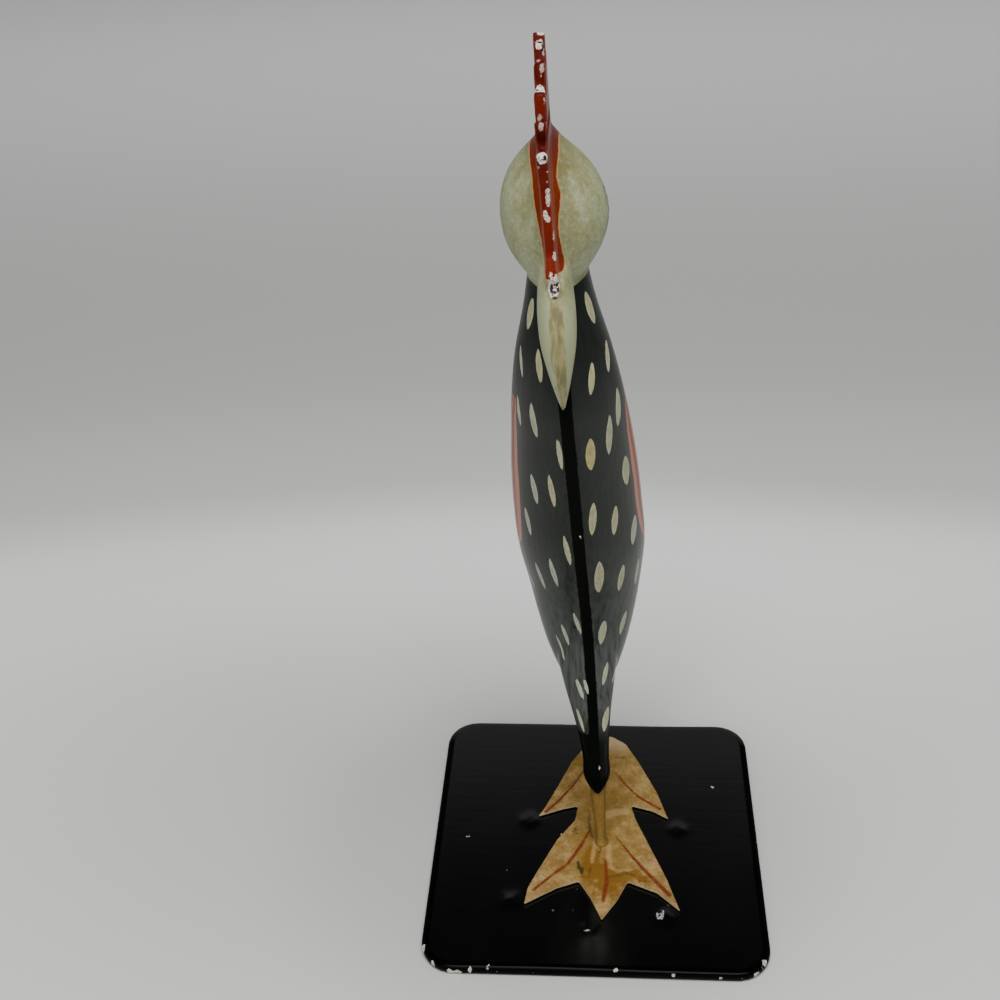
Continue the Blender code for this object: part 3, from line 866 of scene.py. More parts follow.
def head_fields(piece, local, body):
    """Where the head, the beak and the eyes are painted."""
    x, y, z = local.T
    swell = head_swell(local)
    at_comb_foot = common((1.25 - swell) * HEAD_MM, 7 - np.abs(x - COMB_SHIFT_X), z - COMB_FOOT)
    on_beak = common(body[:, 1] - 0.7 - y, z - BEAK_HEIGHTS[0], BEAK_HEIGHTS[1] - z)
    half = np.interp(z, (167, 171, 182, 195), (0.3, 0.85, 1.4, 1.5))
    ridge = common(half - np.abs(x - 0.2), smooth_curve(BEAK, z)[:, 1] + 2.6 - y, BEAK_RIDGE_TOP - z)
    gaps = [np.linalg.norm(local - np.array(EYE_PLACE) * (side, 1, 1), axis=1) for side in (-1, 1)]
    set_fields(
        piece,
        head=either((1.06 - swell) * HEAD_MM, at_comb_foot, on_beak),
        beak=ramp(z, *BEAK_FADE) * (body[:, 1] + 1.5 > y),
        beak_ridge=ridge,
        eye=either(OUTSIDE, *[EYE_RADIUS - gap for gap in gaps]),
    )


def comb_fields(piece, local):
    """Where the comb and its parts are painted, and the head beside it."""
    x, y, z = local.T
    from_comb = np.abs(x - COMB_SHIFT_X)
    behind = behind_comb_front(y, z)
    level, right, left = np.array(RED_BAND).T
    band = np.where(x > COMB_SHIFT_X, np.interp(z, level, right), np.interp(z, level, left))
    # Painted shade in the hollows between the comb's teeth, and darker near its top
    hollow = ramp(behind, 0.9, 1.0) * np.interp(z, COMB_SHADE_HEIGHTS, (0, 1, 1, 0))
    # Painted highlight along the front corners of the comb
    at_corner = ramp(np.abs(from_comb - comb_half(y, z)), 0.38, -0.15)
    set_fields(
        piece,
        comb=either(
            common(band - from_comb, z - RED_END, 11 - y),
            common((head_swell(local) - 1.09) * HEAD_MM, z - CROWN_FOOT),
        ),
        comb_edge=common(1.1 - from_comb, 4.5 - behind, z - RED_END),
        comb_hollow=either(hollow, np.interp(z, COMB_TOP_DARK_HEIGHTS, (0, 0.55, 0.55, 0))),
        comb_high=ramp(z, *COMB_HIGH),
        near_comb=ramp(from_comb, 9, -9) * ramp(z, *BESIDE_COMB),
        comb_side=at_corner * ramp(behind, 0.3, 0.4),
        # Painted light on the faces of the comb's teeth
        comb_lit=np.interp(z, COMB_LIT_HEIGHTS, (0, 1, 1, 0, 0, 1, 1, 0)),
    )


def body_fields(piece, local, body, wing, across):
    """Where the front strip, the wings, the tail and the legs are painted."""
    x, y, z = local.T
    front = np.where(z < 60, smooth_curve(FRONT_THIGH, z)[:, 1], body[:, 1])
    half = np.interp(z, (26, 38, 52, 140), (1.3, 1.4, 1.5, 1.6))
    strip = common(half - np.abs(x), front + 2.2 - y)
    left_facet = common(LEFT_FACET_TOP - z, 0.6 - x, 12 - y)
    width = np.interp(z, (90, 130, 160), (6, 14, 10))
    lines = [0.62 - np.abs(across - place) * width for place in WING_LINES]
    on_tail = common(y - body[:, 2] - 0.8, z - TAIL_HEIGHTS[0])
    set_fields(
        piece,
        strip=common(either(strip, left_facet), z - STRIP_HEIGHTS[0], STRIP_HEIGHTS[1] - z),
        lower_leg=ramp(z, *LOWER_LEG) * (y < 16),
        # Painted reflection of the floor, strongest low on the body
        thin_coat=ramp(z, *LOW_FLOOR_SHEEN),
        wing=wing,
        wing_line=common(either(*lines), z - WING_LINE_FOOT),
        tail=np.where(z < TAIL_HEIGHTS[1], on_tail, -5.0),
        tail_fan=np.degrees(np.arctan2(z - TAIL_CENTRE[1], y - TAIL_CENTRE[0] + 8)),
        leg=np.minimum(LEG_TOP - z + 0.9 * np.abs(x), 2.0),
        leg_side=np.abs(x) / np.interp(z, (1.6, SHANK_TOP), SHANK_HALF_X[::-1]),
    )


def spot_fields(piece, points, wing):
    """The brush marks, and the places where the paint is worn off."""
    seen = Seen(piece, FIGURE_MIDDLE)
    marks = np.full(len(points), OUTSIDE)
    warm = np.zeros(len(points))
    shown = seen_marks(seen)
    for start, end, half, yellow in shown + hidden_marks(seen, shown):
        mark = lens_mark(points, start, end, half)
        warm = np.where(mark > marks, yellow, warm)
        marks = np.maximum(marks, mark)
    wear, white = worn_field(points, seen.spots(SEEN_COMB_WEAR + SEEN_BODY_CHIPS), WEAR_TALL_SHARE, 0.0)
    bare = worn_field(points, [(*spot, 0.0) for spot in seen.spots(SEEN_BARE)], WEAR_TALL_SHARE, 0.0)[0]
    marks = np.where(wing > -0.3, -1.0, marks)
    set_fields(piece, mark=marks, mark_warm=warm, wear=wear, wear_white=white, bare=bare)


def figure_fields(piece):
    """Everything that the figure's paint needs to know about each point."""
    points = positions(piece)
    local = moved(points, lean_matrix().inverted())
    body = smooth_curve(BODY, local[:, 2])
    wing, across = wing_field(local)
    wing = np.minimum(wing, np.abs(local[:, 0]) - 2.5)
    head_fields(piece, local, body)
    comb_fields(piece, local)
    body_fields(piece, local, body, wing, across)
    spot_fields(piece, points, wing)


def shape_feet(piece, seen):
    """Raises the solder lumps on the feet's upper face."""
    points = positions(piece)
    rise = mounds(points, seen, SEEN_LUMPS, 2)
    points[:, 2] += np.where(points[:, 2] > (FEET_LOW.z + FEET_HIGH.z) / 2, rise, 0)
    set_positions(piece, points)


def feet_fields(piece, seen):
    points = positions(piece)
    x, y, _ = points.T / MM
    stains = [
        strength * np.clip(flat_oval(points, *spot) * 2.5 + 0.6, 0, 1)
        for *spot, strength in seen.spots(SEEN_STAINS)
    ]
    heel = ramp(y, *HEEL)
    set_fields(
        piece,
        toe_line=trail_field(points, seen, SEEN_TOE_LINES),
        # Painted shade in the solder's creases, and painted highlights on its ridges
        crease=trail_field(points, seen, SEEN_CREASE_SHADE),
        ridge=trail_field(points, seen, SEEN_RIDGE_HIGHLIGHTS),
        ochre=either(OUTSIDE, *[flat_oval(points, *spot) for spot in seen.spots(SEEN_OCHRE)]),
        stain=either(*stains),
        outer=either(ramp(np.abs(x - 1), *OUTER_PARTS), heel, ramp(y, *TOE_TIPS)),
        heel=heel,
        below_top=(FEET_HIGH.z - points[:, 2]) / MM,
    )


def shape_plate(piece, seen):
    """Low bumps in the thick paint round the toes, and edges that aren't cut quite straight."""
    points = positions(piece)
    x, y, _ = points.T / MM
    rise = mounds(points, seen, SEEN_BUMPS, 1.3) * (1 + 0.3 * np.sin(x * 1.3) * np.cos(y * 1.1))
    points[:, 2] += np.where(points[:, 2] > PLATE_TOP - 0.2 * MM, rise, 0)
    near = ramp(y, *NEAR_EDGE) ** 2 * np.clip(points[:, 2] / PLATE_TOP, 0, 1)
    points[:, 1] += NEAR_DENT * near * np.exp(-(((x + 12) / 20) ** 2))
    points[:, 1] -= FAR_DENT * ramp(y, *FAR_EDGE) ** 2 * np.exp(-(((x - 20) / 25) ** 2))
    set_positions(piece, points)


def plate_fields(piece, seen, corner):
    points = positions(piece)
    chips, white = worn_field(points, seen.spots(SEEN_PLATE_CHIPS), CHIP_TALL_SHARE, 1.0, -1)
    past = np.abs(points[:, :2]) - (np.array(PLATE_HIGH)[:2] - corner)
    rim = corner - np.linalg.norm(np.maximum(past, 0), axis=1) - np.minimum(past.max(axis=1), 0)
    far_edge = ramp(points[:, 1] / MM, 40, 5)
    set_fields(piece, chip=chips, chip_white=white, rim=rim / MM, far_edge=far_edge)


class Paint:
    """A material and the nodes that are added to it. A field is given by its name."""

    def __init__(self, name):
        self.material = bpy.data.materials.new(name)
        self.material.use_nodes = True
        self.tree = self.material.node_tree
        self.place = self.node("TexCoord", {}, "Object")

    def node(self, kind, inputs, output=0, **settings):
        """Adds a node, fills its inputs and gives one of its outputs."""
        node = self.tree.nodes.new("ShaderNode" + kind)
        for name, value in settings.items():
            setattr(node, name, value)
        self.put(node, inputs)
        return node.outputs[output]

    def put(self, node, inputs):
        """Sets constants, or links fields and other nodes' outputs."""
        for name, value in inputs.items():
            socket = node.inputs[name]
            if isinstance(value, str):
                value = self.node("Attribute", {}, "Fac", attribute_name=value)
            if isinstance(value, bpy.types.NodeSocket):
                self.tree.links.new(value, socket)
            elif hasattr(value, "__len__"):
                socket.default_value = (*value, 1.0)[: len(socket.default_value)]
            else:
                socket.default_value = value

    def math(self, kind, a, b):
        return self.node("Math", {0: a, 1: b}, operation=kind)

    def times(self, a, b):
        return self.math("MULTIPLY", a, b)

    def plus(self, a, b):
        return self.math("ADD", a, b)

    def noise(self, scale, detail, stretch=(1, 1, 1), roughness=0.55, shift=0.0):
        spread = [scale * part for part in stretch]
        start = (shift, shift * 1.7, shift * 0.6)
        place = self.node("Mapping", {"Vector": self.place, "Scale": spread, "Location": start})
        inputs = {"Vector": place, "Scale": 1.0, "Detail": detail, "Roughness": roughness}
        return self.node("TexNoise", inputs)

    def step(self, value, low, high):
        inputs = {"Value": value, "From Min": low, "From Max": high}
        return self.node("MapRange", inputs, interpolation_type="SMOOTHSTEP")

    def edge(self, field, wobble, amount, soft=0.09):
        """A crisp hand-painted edge where a field passes zero."""
        wander = self.times(self.plus(wobble, -0.5), amount)
        return self.step(self.plus(field, wander), -soft, soft)

    def mix(self, amount, under, over):
        return self.node("Mix", {0: amount, 6: under, 7: over}, 2, data_type="RGBA")

    def cover(self, colour, *coats):
        """Lays coats over a colour: each an amount, the share of it that counts, and a colour."""
        for amount, share, over in coats:
            colour = self.mix(amount if share == 1 else self.times(amount, share), colour, over)
        return colour

    def blend(self, value, *others):
        """Blends a value with others in turn: each an amount and a value."""
        for amount, over in others:
            value = self.node("Mix", {0: amount, 2: value, 3: over}, data_type="FLOAT")
        return value

    def finish(self, colour, roughness, gloss, heights, depth, strength):
        """Fills the shader. The relief is the sum of some heights, each by its weight."""
        relief = reduce(self.plus, [self.times(height, weight) for height, weight in heights])
        bump = self.node("Bump", {"Height": relief, "Strength": strength, "Distance": depth})
        shader = {"Base Color": colour, "Roughness": roughness, "Specular IOR Level": gloss, "Normal": bump}
        self.put(self.tree.nodes["Principled BSDF"], shader)
        return self.material


def tan_coat(paint, colours, streak, blotch):
    """Mottled tan paint with pale flecks and olive grime in it, for the legs and the feet."""
    cloud = paint.noise(330, 5.0, shift=7.0, roughness=0.75)
    fleck = paint.noise(1200, 4.0, shift=15.0, roughness=0.7)
    return paint.cover(
        paint.mix(paint.step(blotch, 0.30, 0.68), colours.feet_pale, colours.feet),
        (paint.step(cloud, 0.42, 0.70), 0.58, colours.feet_grime),
        (paint.step(fleck, 0.50, 0.68), 0.50, colours.feet_grime),
        (paint.step(fleck, 0.50, 0.34), 0.30, (0.46, 0.34, 0.17)),
        (streak, 0.14, (0.50, 0.26, 0.12)),
    )


def figure_grain(paint):
    """The textures that the figure's coats share."""
    return SimpleNamespace(
        streak=paint.noise(900, 3.0, stretch=(1, 1, 0.12)),
        broad=paint.noise(90, 3.0, stretch=(1, 1, 0.45), shift=3.0),
        fine=paint.noise(2400, 3.0, shift=5.0),
        wobble=paint.noise(700, 2.0, shift=9.0),
        patch=paint.noise(150, 4.0, stretch=(1, 1, 0.6), shift=11.0),
        ragged=paint.noise(1700, 3.0, shift=2.0),
    )


def body_coat(paint, grain, colours):
    """Grey-black brushed unevenly, lighter low down with a painted reflection of the floor, with dark specks
    and a black strip in front.
    """
    thin = paint.times(paint.step(grain.streak, 0.35, 0.70), paint.step(grain.broad, 0.30, 0.70))
    # Painted reflection of the floor low on the body, streaked
    low = paint.times("thin_coat", paint.step(grain.streak, 0.15, 0.65))
    pits = paint.step(paint.noise(420, 2.0, shift=21.0), 0.70, 0.74)
    strip = paint.edge("strip", grain.wobble, 0.5, 0.16)
    colour = paint.cover(
        colours.body,
        (thin, 1, colours.body_light),
        (low, 1, colours.body_floor_sheen),
        (pits, 0.8, colours.strip),
        ("lower_leg", 1, colours.strip),
        (strip, 1, colours.strip),
    )
    rough = paint.blend(0.25, (grain.streak, 0.39), (strip, 0.22))
    return colour, rough, paint.blend(0.26, ("lower_leg", 0.10), (strip, 0.03))


def wing_coat(paint, grain, colours, colour):
    """Salmon wings with dark red lines, and a salmon vane on each tail feather."""
    line = paint.edge("wing_line", grain.wobble, 0.4, 0.25)
    dark = (line, 0.9, colours.wing_line)
    salmon = paint.cover(colours.wing, (grain.streak, 0.8, colours.wing_light), dark)
    wing = paint.edge("wing", grain.wobble, 0.3)
    fan = paint.step(paint.math("PINGPONG", "tail_fan", 9.0), 6.6, 7.6)
    vane = paint.times(paint.edge("tail", grain.wobble, 0.3), fan)
    return wing, paint.cover(colour, (wing, 1, salmon), (vane, 1, colours.wing))


def mark_coat(paint, grain, colours, colour):
    """Grey cream brush marks, combed by the brush and thinner in their middles."""
    mark = paint.edge(paint.plus("mark", -0.05), grain.wobble, 0.26, 0.08)
    hairs = paint.noise(2300, 2.0, stretch=(1, 1, 0.10), shift=31.0)
    cream = paint.cover(
        paint.mix("mark_warm", colours.mark, colours.mark_warm),
        (paint.step(hairs, 0.42, 0.62), 0.42, (0.17, 0.17, 0.11)),
        (paint.step("mark", 0.30, 0.75), 0.26, (0.22, 0.18, 0.08)),
    )
    return mark, paint.mix(mark, colour, cream)


def head_coat(paint, grain, colours):
    """Pale green white, clouded, with an olive stain beside the comb and dark specks."""
    cloud = paint.noise(130, 5.0, stretch=(1, 1, 0.75), shift=13.0, roughness=0.6)
    stain = paint.plus(paint.times("near_comb", 0.60), grain.patch)
    smear = paint.noise(420, 5.0, stretch=(1, 1, 0.5), shift=19.0, roughness=0.7)
    mottle = paint.noise(850, 5.0, shift=25.0, roughness=0.75)
    speck = paint.noise(1900, 2.0, shift=17.0)
    return paint.cover(
        paint.mix(paint.step(cloud, 0.36, 0.62), colours.head, colours.head_light),
        (paint.step(stain, 0.60, 0.98), 0.85, colours.head_grime),
        (paint.step(smear, 0.50, 0.68), 0.30, (0.26, 0.24, 0.12)),
        (paint.step(mottle, 0.50, 0.66), 0.48, colours.head_grime),
        (paint.step(mottle, 0.48, 0.34), 0.55, (0.37, 0.44, 0.31)),
        (paint.step(speck, 0.69, 0.73), 0.8, (0.06, 0.055, 0.03)),
    )


def beak_coat(paint, grain, colours, pale):
    """Paler than the head, with olive brown strokes along its ridge."""
    beak = paint.mix(paint.step(grain.streak, 0.30, 0.75), colours.beak, colours.head_light)
    strokes = paint.noise(1100, 3.0, stretch=(1, 1, 0.10), shift=23.0)
    ridge = paint.edge("beak_ridge", strokes, 2.2, 0.5)
    olive = paint.mix(paint.step(strokes, 0.38, 0.62), colours.ridge, colours.ridge_deep)
    rubbed = paint.step(paint.noise(320, 4.0, stretch=(1, 1, 0.5), shift=27.0), 0.34, 0.52)
    return paint.cover(pale, ("beak", 1, beak), (ridge, paint.blend(0.45, (rubbed, 0.80)), olive))


def comb_coat(paint, grain, colours, colour):
    """Red comb with a darker front edge, painted shade in the hollows between its teeth, painted light on
    its teeth and painted highlights on its front corners, and a thin tan line where its band meets the head.
    """
    tan_line = paint.edge(paint.plus("comb", 0.28), grain.wobble, 0.35)
    comb = paint.edge("comb", grain.wobble, 0.35)
    front = paint.edge("comb_edge", grain.wobble, 0.4, 0.25)
    dark = paint.cover(
        paint.mix(paint.step(grain.patch, 0.35, 0.65), colours.comb_front, colours.comb_deep),
        ("comb_high", 0.55, (0.035, 0.002, 0.001)),
        # Painted light on the faces of the comb's teeth
        ("comb_lit", 0.6, (0.17, 0.012, 0.004)),
        # Painted shade in the hollows between the teeth, also darker near the comb's top
        ("comb_hollow", 0.85, (0.03, 0.0015, 0.001)),
    )
    red = paint.cover(
        paint.mix(paint.step(grain.streak, 0.35, 0.8), colours.comb, colours.comb_deep),
        ("comb_high", 0.8, colours.comb_edge),
        (front, 0.85, dark),
        # Painted highlight: paler red along the comb's front corners
        ("comb_side", 0.65, paint.mix("comb_high", (0.30, 0.09, 0.06), (0.17, 0.035, 0.025))),
    )
    return comb, paint.cover(colour, (tan_line, 0.75, colours.comb_line), (comb, 1, red))


def eye_coat(paint, grain, colours, colour):
    """A thin dark ring round a pale iris and a dark centre."""
    iris = paint.edge(paint.plus("eye", -0.5), grain.wobble, 0.2)
    pupil = paint.edge(paint.plus("eye", -1.8), grain.wobble, 0.2)
    return paint.cover(
        colour,
        (paint.edge("eye", grain.wobble, 0.2), 1, (0.02, 0.028, 0.035)),
        (iris, 1, colours.head_light),
        (pupil, 1, (0.006, 0.006, 0.006)),
    )


def leg_coat(paint, grain, colours, colour):
    """Legs in the golden brown of the feet, darker along their sides."""
    leg = paint.edge("leg", grain.wobble, 0.3)
    side = paint.step(paint.plus("leg_side", paint.times(grain.streak, 0.5)), 0.5, 1.2)
    coat = paint.mix(0.6, tan_coat(paint, colours, grain.streak, grain.patch), colours.feet_golden)
    return leg, paint.mix(leg, colour, paint.cover(coat, (side, 0.4, (0.150, 0.086, 0.016))))


def worn_coat(paint, grain, colour):
    """White primer where the paint has come off, with dark metal showing in places."""
    torn = paint.plus("wear", paint.times(grain.fine, 0.5))
    worn = paint.edge(paint.plus(torn, -0.28), grain.ragged, 0.8, 0.06)
    primer = paint.mix(paint.step(grain.fine, 0.44, 0.60), (0.84, 0.77, 0.70), (0.42, 0.29, 0.25))
    primer = paint.mix(paint.step(grain.ragged, 0.60, 0.70), primer, (0.30, 0.13, 0.10))
    # Worn primer, greyer where a chip lies under a tooth, as painted shade
    primer = paint.mix("wear_white", (0.16, 0.07, 0.06), primer)
    bare = paint.edge("bare", grain.ragged, 0.8, 0.08)
    return worn, paint.cover(colour, (worn, 1, primer), (bare, 1, (0.020, 0.015, 0.013)))


def figure_paint(colours):
    paint = Paint("rooster_paint")
    grain = figure_grain(paint)
    colour, rough, gloss = body_coat(paint, grain, colours)
    wing, colour = wing_coat(paint, grain, colours, colour)
    mark, colour = mark_coat(paint, grain, colours, colour)
    head = paint.edge("head", grain.wobble, 0.2, 0.14)
    pale = beak_coat(paint, grain, colours, head_coat(paint, grain, colours))
    comb, colour = comb_coat(paint, grain, colours, paint.mix(head, colour, pale))
    leg, colour = leg_coat(paint, grain, colours, eye_coat(paint, grain, colours, colour))
    worn, colour = worn_coat(paint, grain, colour)
    head_rough = paint.blend(0.40, (grain.patch, 0.60))
    rough = paint.blend(rough, (mark, 0.48), (head, head_rough), (comb, 0.28), (worn, 0.6))
    pale_parts = paint.math("MAXIMUM", head, mark)
    # Less gloss where the painted shade lies in the comb's hollows
    comb_gloss = paint.blend(0.05, ("comb_hollow", 0.0))
    gloss = paint.blend(gloss, (pale_parts, 0.3), (wing, 0.12), (comb, comb_gloss), (leg, 0.06))
    heights = ((grain.streak, 0.45), (grain.fine, 0.12), (mark, 0.5), (comb, 0.5), (worn, -1.2))
    return paint.finish(colour, rough, gloss, heights, 0.10 * MM, 0.6)


def feet_paint(colours):
    paint = Paint("feet_paint")
    streak = paint.noise(700, 3.0, stretch=(1, 0.25, 1))
    blotch = paint.noise(180, 5.0, shift=4.0, roughness=0.65)
    wobble = paint.noise(900, 2.0, shift=9.0)
    specks = paint.noise(1150, 4.0, shift=15.0, roughness=0.65)
    golden = paint.step(paint.plus(blotch, paint.times("outer", -0.4)), 0.10, 0.56)
    ragged = paint.step(paint.plus("stain", specks), 0.92, 1.25)
    crease = paint.times(paint.edge("crease", specks, 1.6, 0.45), 0.75)
    faded = paint.step(paint.noise(500, 3.0, shift=6.0), 0.30, 0.55)
    colour = paint.cover(
        tan_coat(paint, colours, streak, blotch),
        (golden, 0.62, colours.feet_golden),
        (paint.edge("ochre", blotch, 2.4, 0.25), 0.82, colours.feet_ochre),
        # Painted light: the heel is painted paler against the shadow that the body casts on it
        ("heel", 0.5, (0.60, 0.45, 0.27)),
        # Painted highlights on the ridges of the solder
        (paint.edge("ridge", specks, 1.2, 0.5), 0.5, (0.42, 0.28, 0.12)),
        # Dark stains, and painted shade in the creases of the solder
        (paint.math("MAXIMUM", ragged, crease), 0.9, (0.030, 0.023, 0.006)),
        (paint.edge("toe_line", specks, 0.7, 0.22), paint.blend(0.70, (faded, 0.98)), colours.toe_line),
        # Painted highlight: the cut edges of the sheet, below its upper face, are painted pale
        (paint.step("below_top", 0.12, 0.35), 0.6, (0.66, 0.52, 0.38)),
    )
    heights = ((blotch, 0.8), (wobble, 0.3))
    return paint.finish(colour, paint.blend(0.42, (blotch, 0.62)), 0.12, heights, 0.16 * MM, 0.7)


def plate_paint(colours):
    paint = Paint("base_paint")
    broad = paint.noise(35, 4.0)
    brushed = paint.noise(500, 3.0, stretch=(0.12, 1, 1), shift=3.0)
    fine = paint.noise(2600, 2.0, shift=5.0)
    ragged = paint.noise(1300, 3.0, shift=2.0)
    scattered = paint.step(paint.noise(900, 4.0, shift=8.0), 0.70, 0.73)
    at_rim = paint.times(paint.step("rim", 0.8, 0.2), scattered)
    chip = paint.math("MAXIMUM", paint.edge("chip", ragged, 1.1, 0.05), at_rim)
    primer = paint.mix(paint.step(fine, 0.45, 0.6), (0.72, 0.70, 0.66), (0.30, 0.27, 0.24))
    colour = paint.cover(
        paint.mix(paint.step(broad, 0.35, 0.70), colours.plate, colours.plate_light),
        (paint.step(fine, 0.72, 0.80), 0.12, (0.10, 0.10, 0.09)),
        (chip, 1, paint.mix("chip_white", colours.plate, primer)),
    )
    level = paint.math("MAXIMUM", paint.step("rim", 1.8, 2.6), "far_edge")
    heights = ((brushed, 0.5), (fine, 0.12), (chip, -1.0))
    rough = paint.blend(0.10, (broad, 0.16), (chip, 0.65))
    return paint.finish(colour, rough, paint.blend(0.04, (level, 0.7)), heights, 0.06 * MM, 0.4)


def floor_distance(paint, centre, stretch):
    """How far a place on the floor lies from a centre, in a stretched measure."""
    apart = paint.node("VectorMath", {0: paint.place, 1: centre}, operation="SUBTRACT")
    stretched = paint.node("VectorMath", {0: apart, 1: stretch}, operation="MULTIPLY")
    return paint.node("VectorMath", {0: stretched}, "Value", operation="LENGTH")


def stage_paint(colours):
    """Pale grey, with painted light and shade: how the light falls over the floor, painted shadow round the
    plate and a painted patch of light behind the figure.
    """
    paint = Paint("stage_paint")
    colour = paint.mix(paint.noise(3.0, 3.0), colours.stage, [0.97 * part for part in colours.stage])
    # Painted light and painted shade, ring by ring and patch by patch
    for centre, stretch, start, end, share, brightness in FLOOR_LIGHT_AND_SHADE:
        amount = paint.step(floor_distance(paint, centre, stretch), start, end)
        colour = paint.cover(colour, (amount, share, [brightness] * 3))
    return paint.finish(colour, 0.85, 0.5, [(paint.noise(400, 2.0), 1.0)], 0.02 * MM, 0.2)


def room():
    """A world that is pale low down and dim overhead."""
    world = bpy.data.worlds.new("soft_room")
    world.use_nodes = True
    nodes, links = world.node_tree.nodes, world.node_tree.links
    height = nodes.new("ShaderNodeSeparateXYZ")
    links.new(nodes.new("ShaderNodeTexCoord").outputs["Generated"], height.inputs[0])
    fall = nodes.new("ShaderNodeValToRGB")
    stops = fall.color_ramp.elements
    stops.remove(stops[1])
    for index, (place_up, brightness) in enumerate(ROOM_FALL):
        stop = stops[0] if index == 0 else stops.new(place_up)
        stop.position = place_up
        stop.color = (*[brightness * part for part in ROOM_TINT], 1.0)
    links.new(height.outputs["Z"], fall.inputs["Fac"])
    links.new(fall.outputs["Color"], nodes["Background"].inputs["Color"])
    return world


def placed(name, data, matrix):
    """Puts a light or a camera into the scene."""
    thing = bpy.data.objects.new(name, data)
    bpy.context.scene.collection.objects.link(thing)
    thing.matrix_world = matrix
    return thing


def settle(piece, node, material):
    """Gives a finished piece its paint, hangs it under the root body and hides the imported part that it
    stands for.
    """
    piece.data.materials.clear()
    piece.data.materials.append(material)
    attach(piece, "root")
    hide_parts(node)


class ROOSTER_OT_figure(bpy.types.Operator):
    """Model and paint the bird"""

    bl_idname = "rooster.figure"
    bl_label = "Bird"

    def execute(self, context):
        comb = [*COMB_RIDGE, *scalloped(COMB_TIPS, COMB_CENTRE, COMB_VALLEY), *COMB_ROOT]
        tail = [*TAIL_FRONT, *scalloped(TAIL_TIPS, TAIL_CENTRE, TAIL_VALLEY), *TAIL_ROOT]
        forms = [
            lofted("body_form", BODY),
            lofted("front_thigh_form", FRONT_THIGH),
            lofted("rear_thigh_form", REAR_THIGH),
            lofted("beak_form", BEAK),
            head_form(),
            shank_form("front_shank_form", FRONT_SHANK_Y),
            shank_form("rear_shank_form", REAR_SHANK_Y),
            upright_plate("comb_form", comb, comb_half, COMB_SHIFT_X),
            upright_plate("tail_form", tail, lambda y, height: TAIL_THICK / 2, 0.0),
        ]
        piece = fuse("painted_rooster", forms, context.scene.rooster_sizes.figure_cell)
        refine_front(piece)
        figure_fields(piece)
        settle(piece, "rooster", figure_paint(context.scene.rooster_colours))
        return {"FINISHED"}


class ROOSTER_OT_feet(bpy.types.Operator):
    """Model and paint the webbed feet"""

    bl_idname = "rooster.feet"
    bl_label = "Webbed Feet"

    def execute(self, context):
        rings = [[Vector((x * MM, y * MM, z)) for x, y in FEET_OUTLINE] for z in (FEET_LOW.z, FEET_HIGH.z)]
        form = drawn_form("feet_form", rings)
        piece = fuse("painted_feet", [form], context.scene.rooster_sizes.feet_cell)
        seen = Seen(piece, FEET_MIDDLE)
        shape_feet(piece, seen)
        feet_fields(piece, seen)
        settle(piece, "webbed_feet", feet_paint(context.scene.rooster_colours))
        return {"FINISHED"}


def upright_edges(edges):
    return [abs((edge.verts[1].co - edge.verts[0].co).normalized().z) > 0.9 for edge in edges]


def level_face_edges(edges):
    """Picks the edges round the upper and the lower face."""
    return [sum(abs(face.normal.z) > 0.5 for face in edge.link_faces) == 1 for edge in edges]


class ROOSTER_OT_plate(bpy.types.Operator):
    """Model and paint the base plate"""

    bl_idname = "rooster.plate"
    bl_label = "Base Plate"

    def execute(self, context):
        sizes = context.scene.rooster_sizes
        clear_selection()
        bpy.ops.mesh.primitive_cube_add(size=1.0, location=(PLATE_LOW + PLATE_HIGH) / 2)
        block = added("plate_form")
        block.scale = PLATE_HIGH - PLATE_LOW
        bpy.ops.object.transform_apply(location=True, rotation=True, scale=True)
        bpy.ops.object.mode_set(mode="EDIT")
        select_parts(block, "EDGE", upright_edges)
        bpy.ops.mesh.bevel(offset=sizes.plate_corner, segments=12)
        select_parts(block, "EDGE", level_face_edges)
        bpy.ops.mesh.bevel(offset=sizes.plate_arris, segments=4)
        bpy.ops.object.mode_set(mode="OBJECT")
        piece = fuse("painted_plate", [block], sizes.plate_cell)
        seen = Seen(piece, PLATE_MIDDLE)
        shape_plate(piece, seen)
        plate_fields(piece, seen, sizes.plate_corner)
        settle(piece, "base_plate", plate_paint(context.scene.rooster_colours))
        return {"FINISHED"}


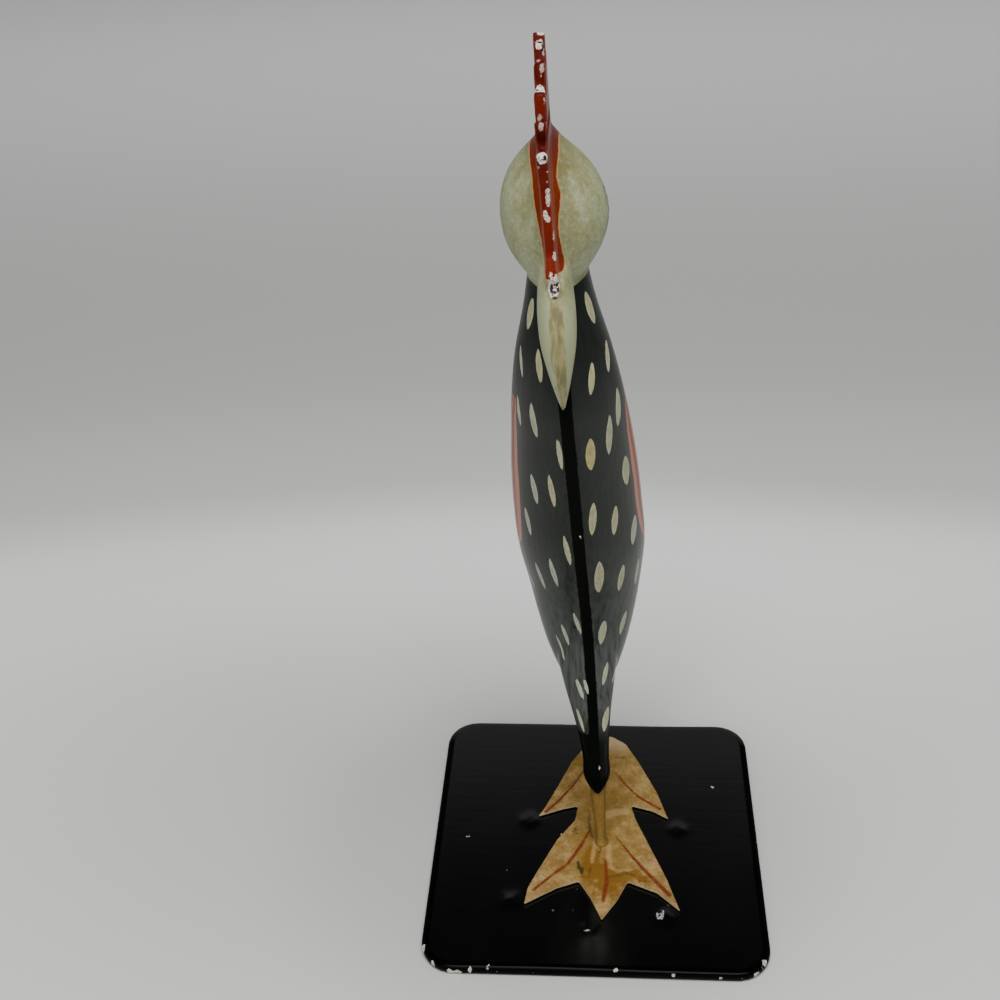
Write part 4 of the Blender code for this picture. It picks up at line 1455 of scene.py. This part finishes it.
class ROOSTER_OT_stage(bpy.types.Operator):
    """Set the pale floor, the soft light and the camera"""

    bl_idname = "rooster.stage"
    bl_label = "Stage"

    def execute(self, context):
        clear_selection()
        bpy.ops.mesh.primitive_circle_add(vertices=128, radius=FLOOR_RADIUS, fill_type="NGON")
        floor = added("pale_floor")
        floor.data.materials.append(stage_paint(context.scene.rooster_colours))
        context.scene.world = room()
        for name, spot, aim, size, power in LIGHTS:
            light = bpy.data.lights.new(name, "AREA")
            light.shape = "DISK"
            light.size = size
            light.energy = power
            facing = (Vector(aim) - Vector(spot)).to_track_quat("-Z", "Y").to_matrix().to_4x4()
            placed(name, light, Matrix.Translation(spot) @ facing)
        camera = bpy.data.cameras.new("photo_camera")
        camera.sensor_width = SENSOR_MM
        camera.lens = FOCAL_PIXELS * SENSOR_MM / IMAGE_SIDE
        camera.clip_start = 0.01
        spot = Matrix.Translation(CAMERA_SPOT) @ camera_axes().to_4x4()
        context.scene.camera = placed("photo_camera", camera, spot)
        return {"FINISHED"}


class ROOSTER_PT_panel(bpy.types.Panel):
    bl_label = "Painted Metal Rooster"
    bl_idname = "ROOSTER_PT_panel"
    bl_space_type = "VIEW_3D"
    bl_region_type = "UI"
    bl_category = "Rooster"

    def draw(self, context):
        for group in (context.scene.rooster_sizes, context.scene.rooster_colours):
            box = self.layout.box()
            for name in group.bl_rna.properties.keys():
                if name not in ("rna_type", "name"):
                    box.prop(group, name)
        for operator in OPERATORS:
            self.layout.operator(operator.bl_idname)


OPERATORS = (ROOSTER_OT_plate, ROOSTER_OT_feet, ROOSTER_OT_figure, ROOSTER_OT_stage)
CLASSES = (RoosterSizes, RoosterColours, *OPERATORS, ROOSTER_PT_panel)


def register():
    for item in CLASSES:
        bpy.utils.register_class(item)
    bpy.types.Scene.rooster_sizes = PointerProperty(type=RoosterSizes)
    bpy.types.Scene.rooster_colours = PointerProperty(type=RoosterColours)


def unregister():
    del bpy.types.Scene.rooster_colours
    del bpy.types.Scene.rooster_sizes
    for item in reversed(CLASSES):
        bpy.utils.unregister_class(item)


def main():
    register()
    bpy.ops.rooster.plate()
    bpy.ops.rooster.feet()
    bpy.ops.rooster.figure()
    bpy.ops.rooster.stage()


if __name__ == "__main__":
    main()
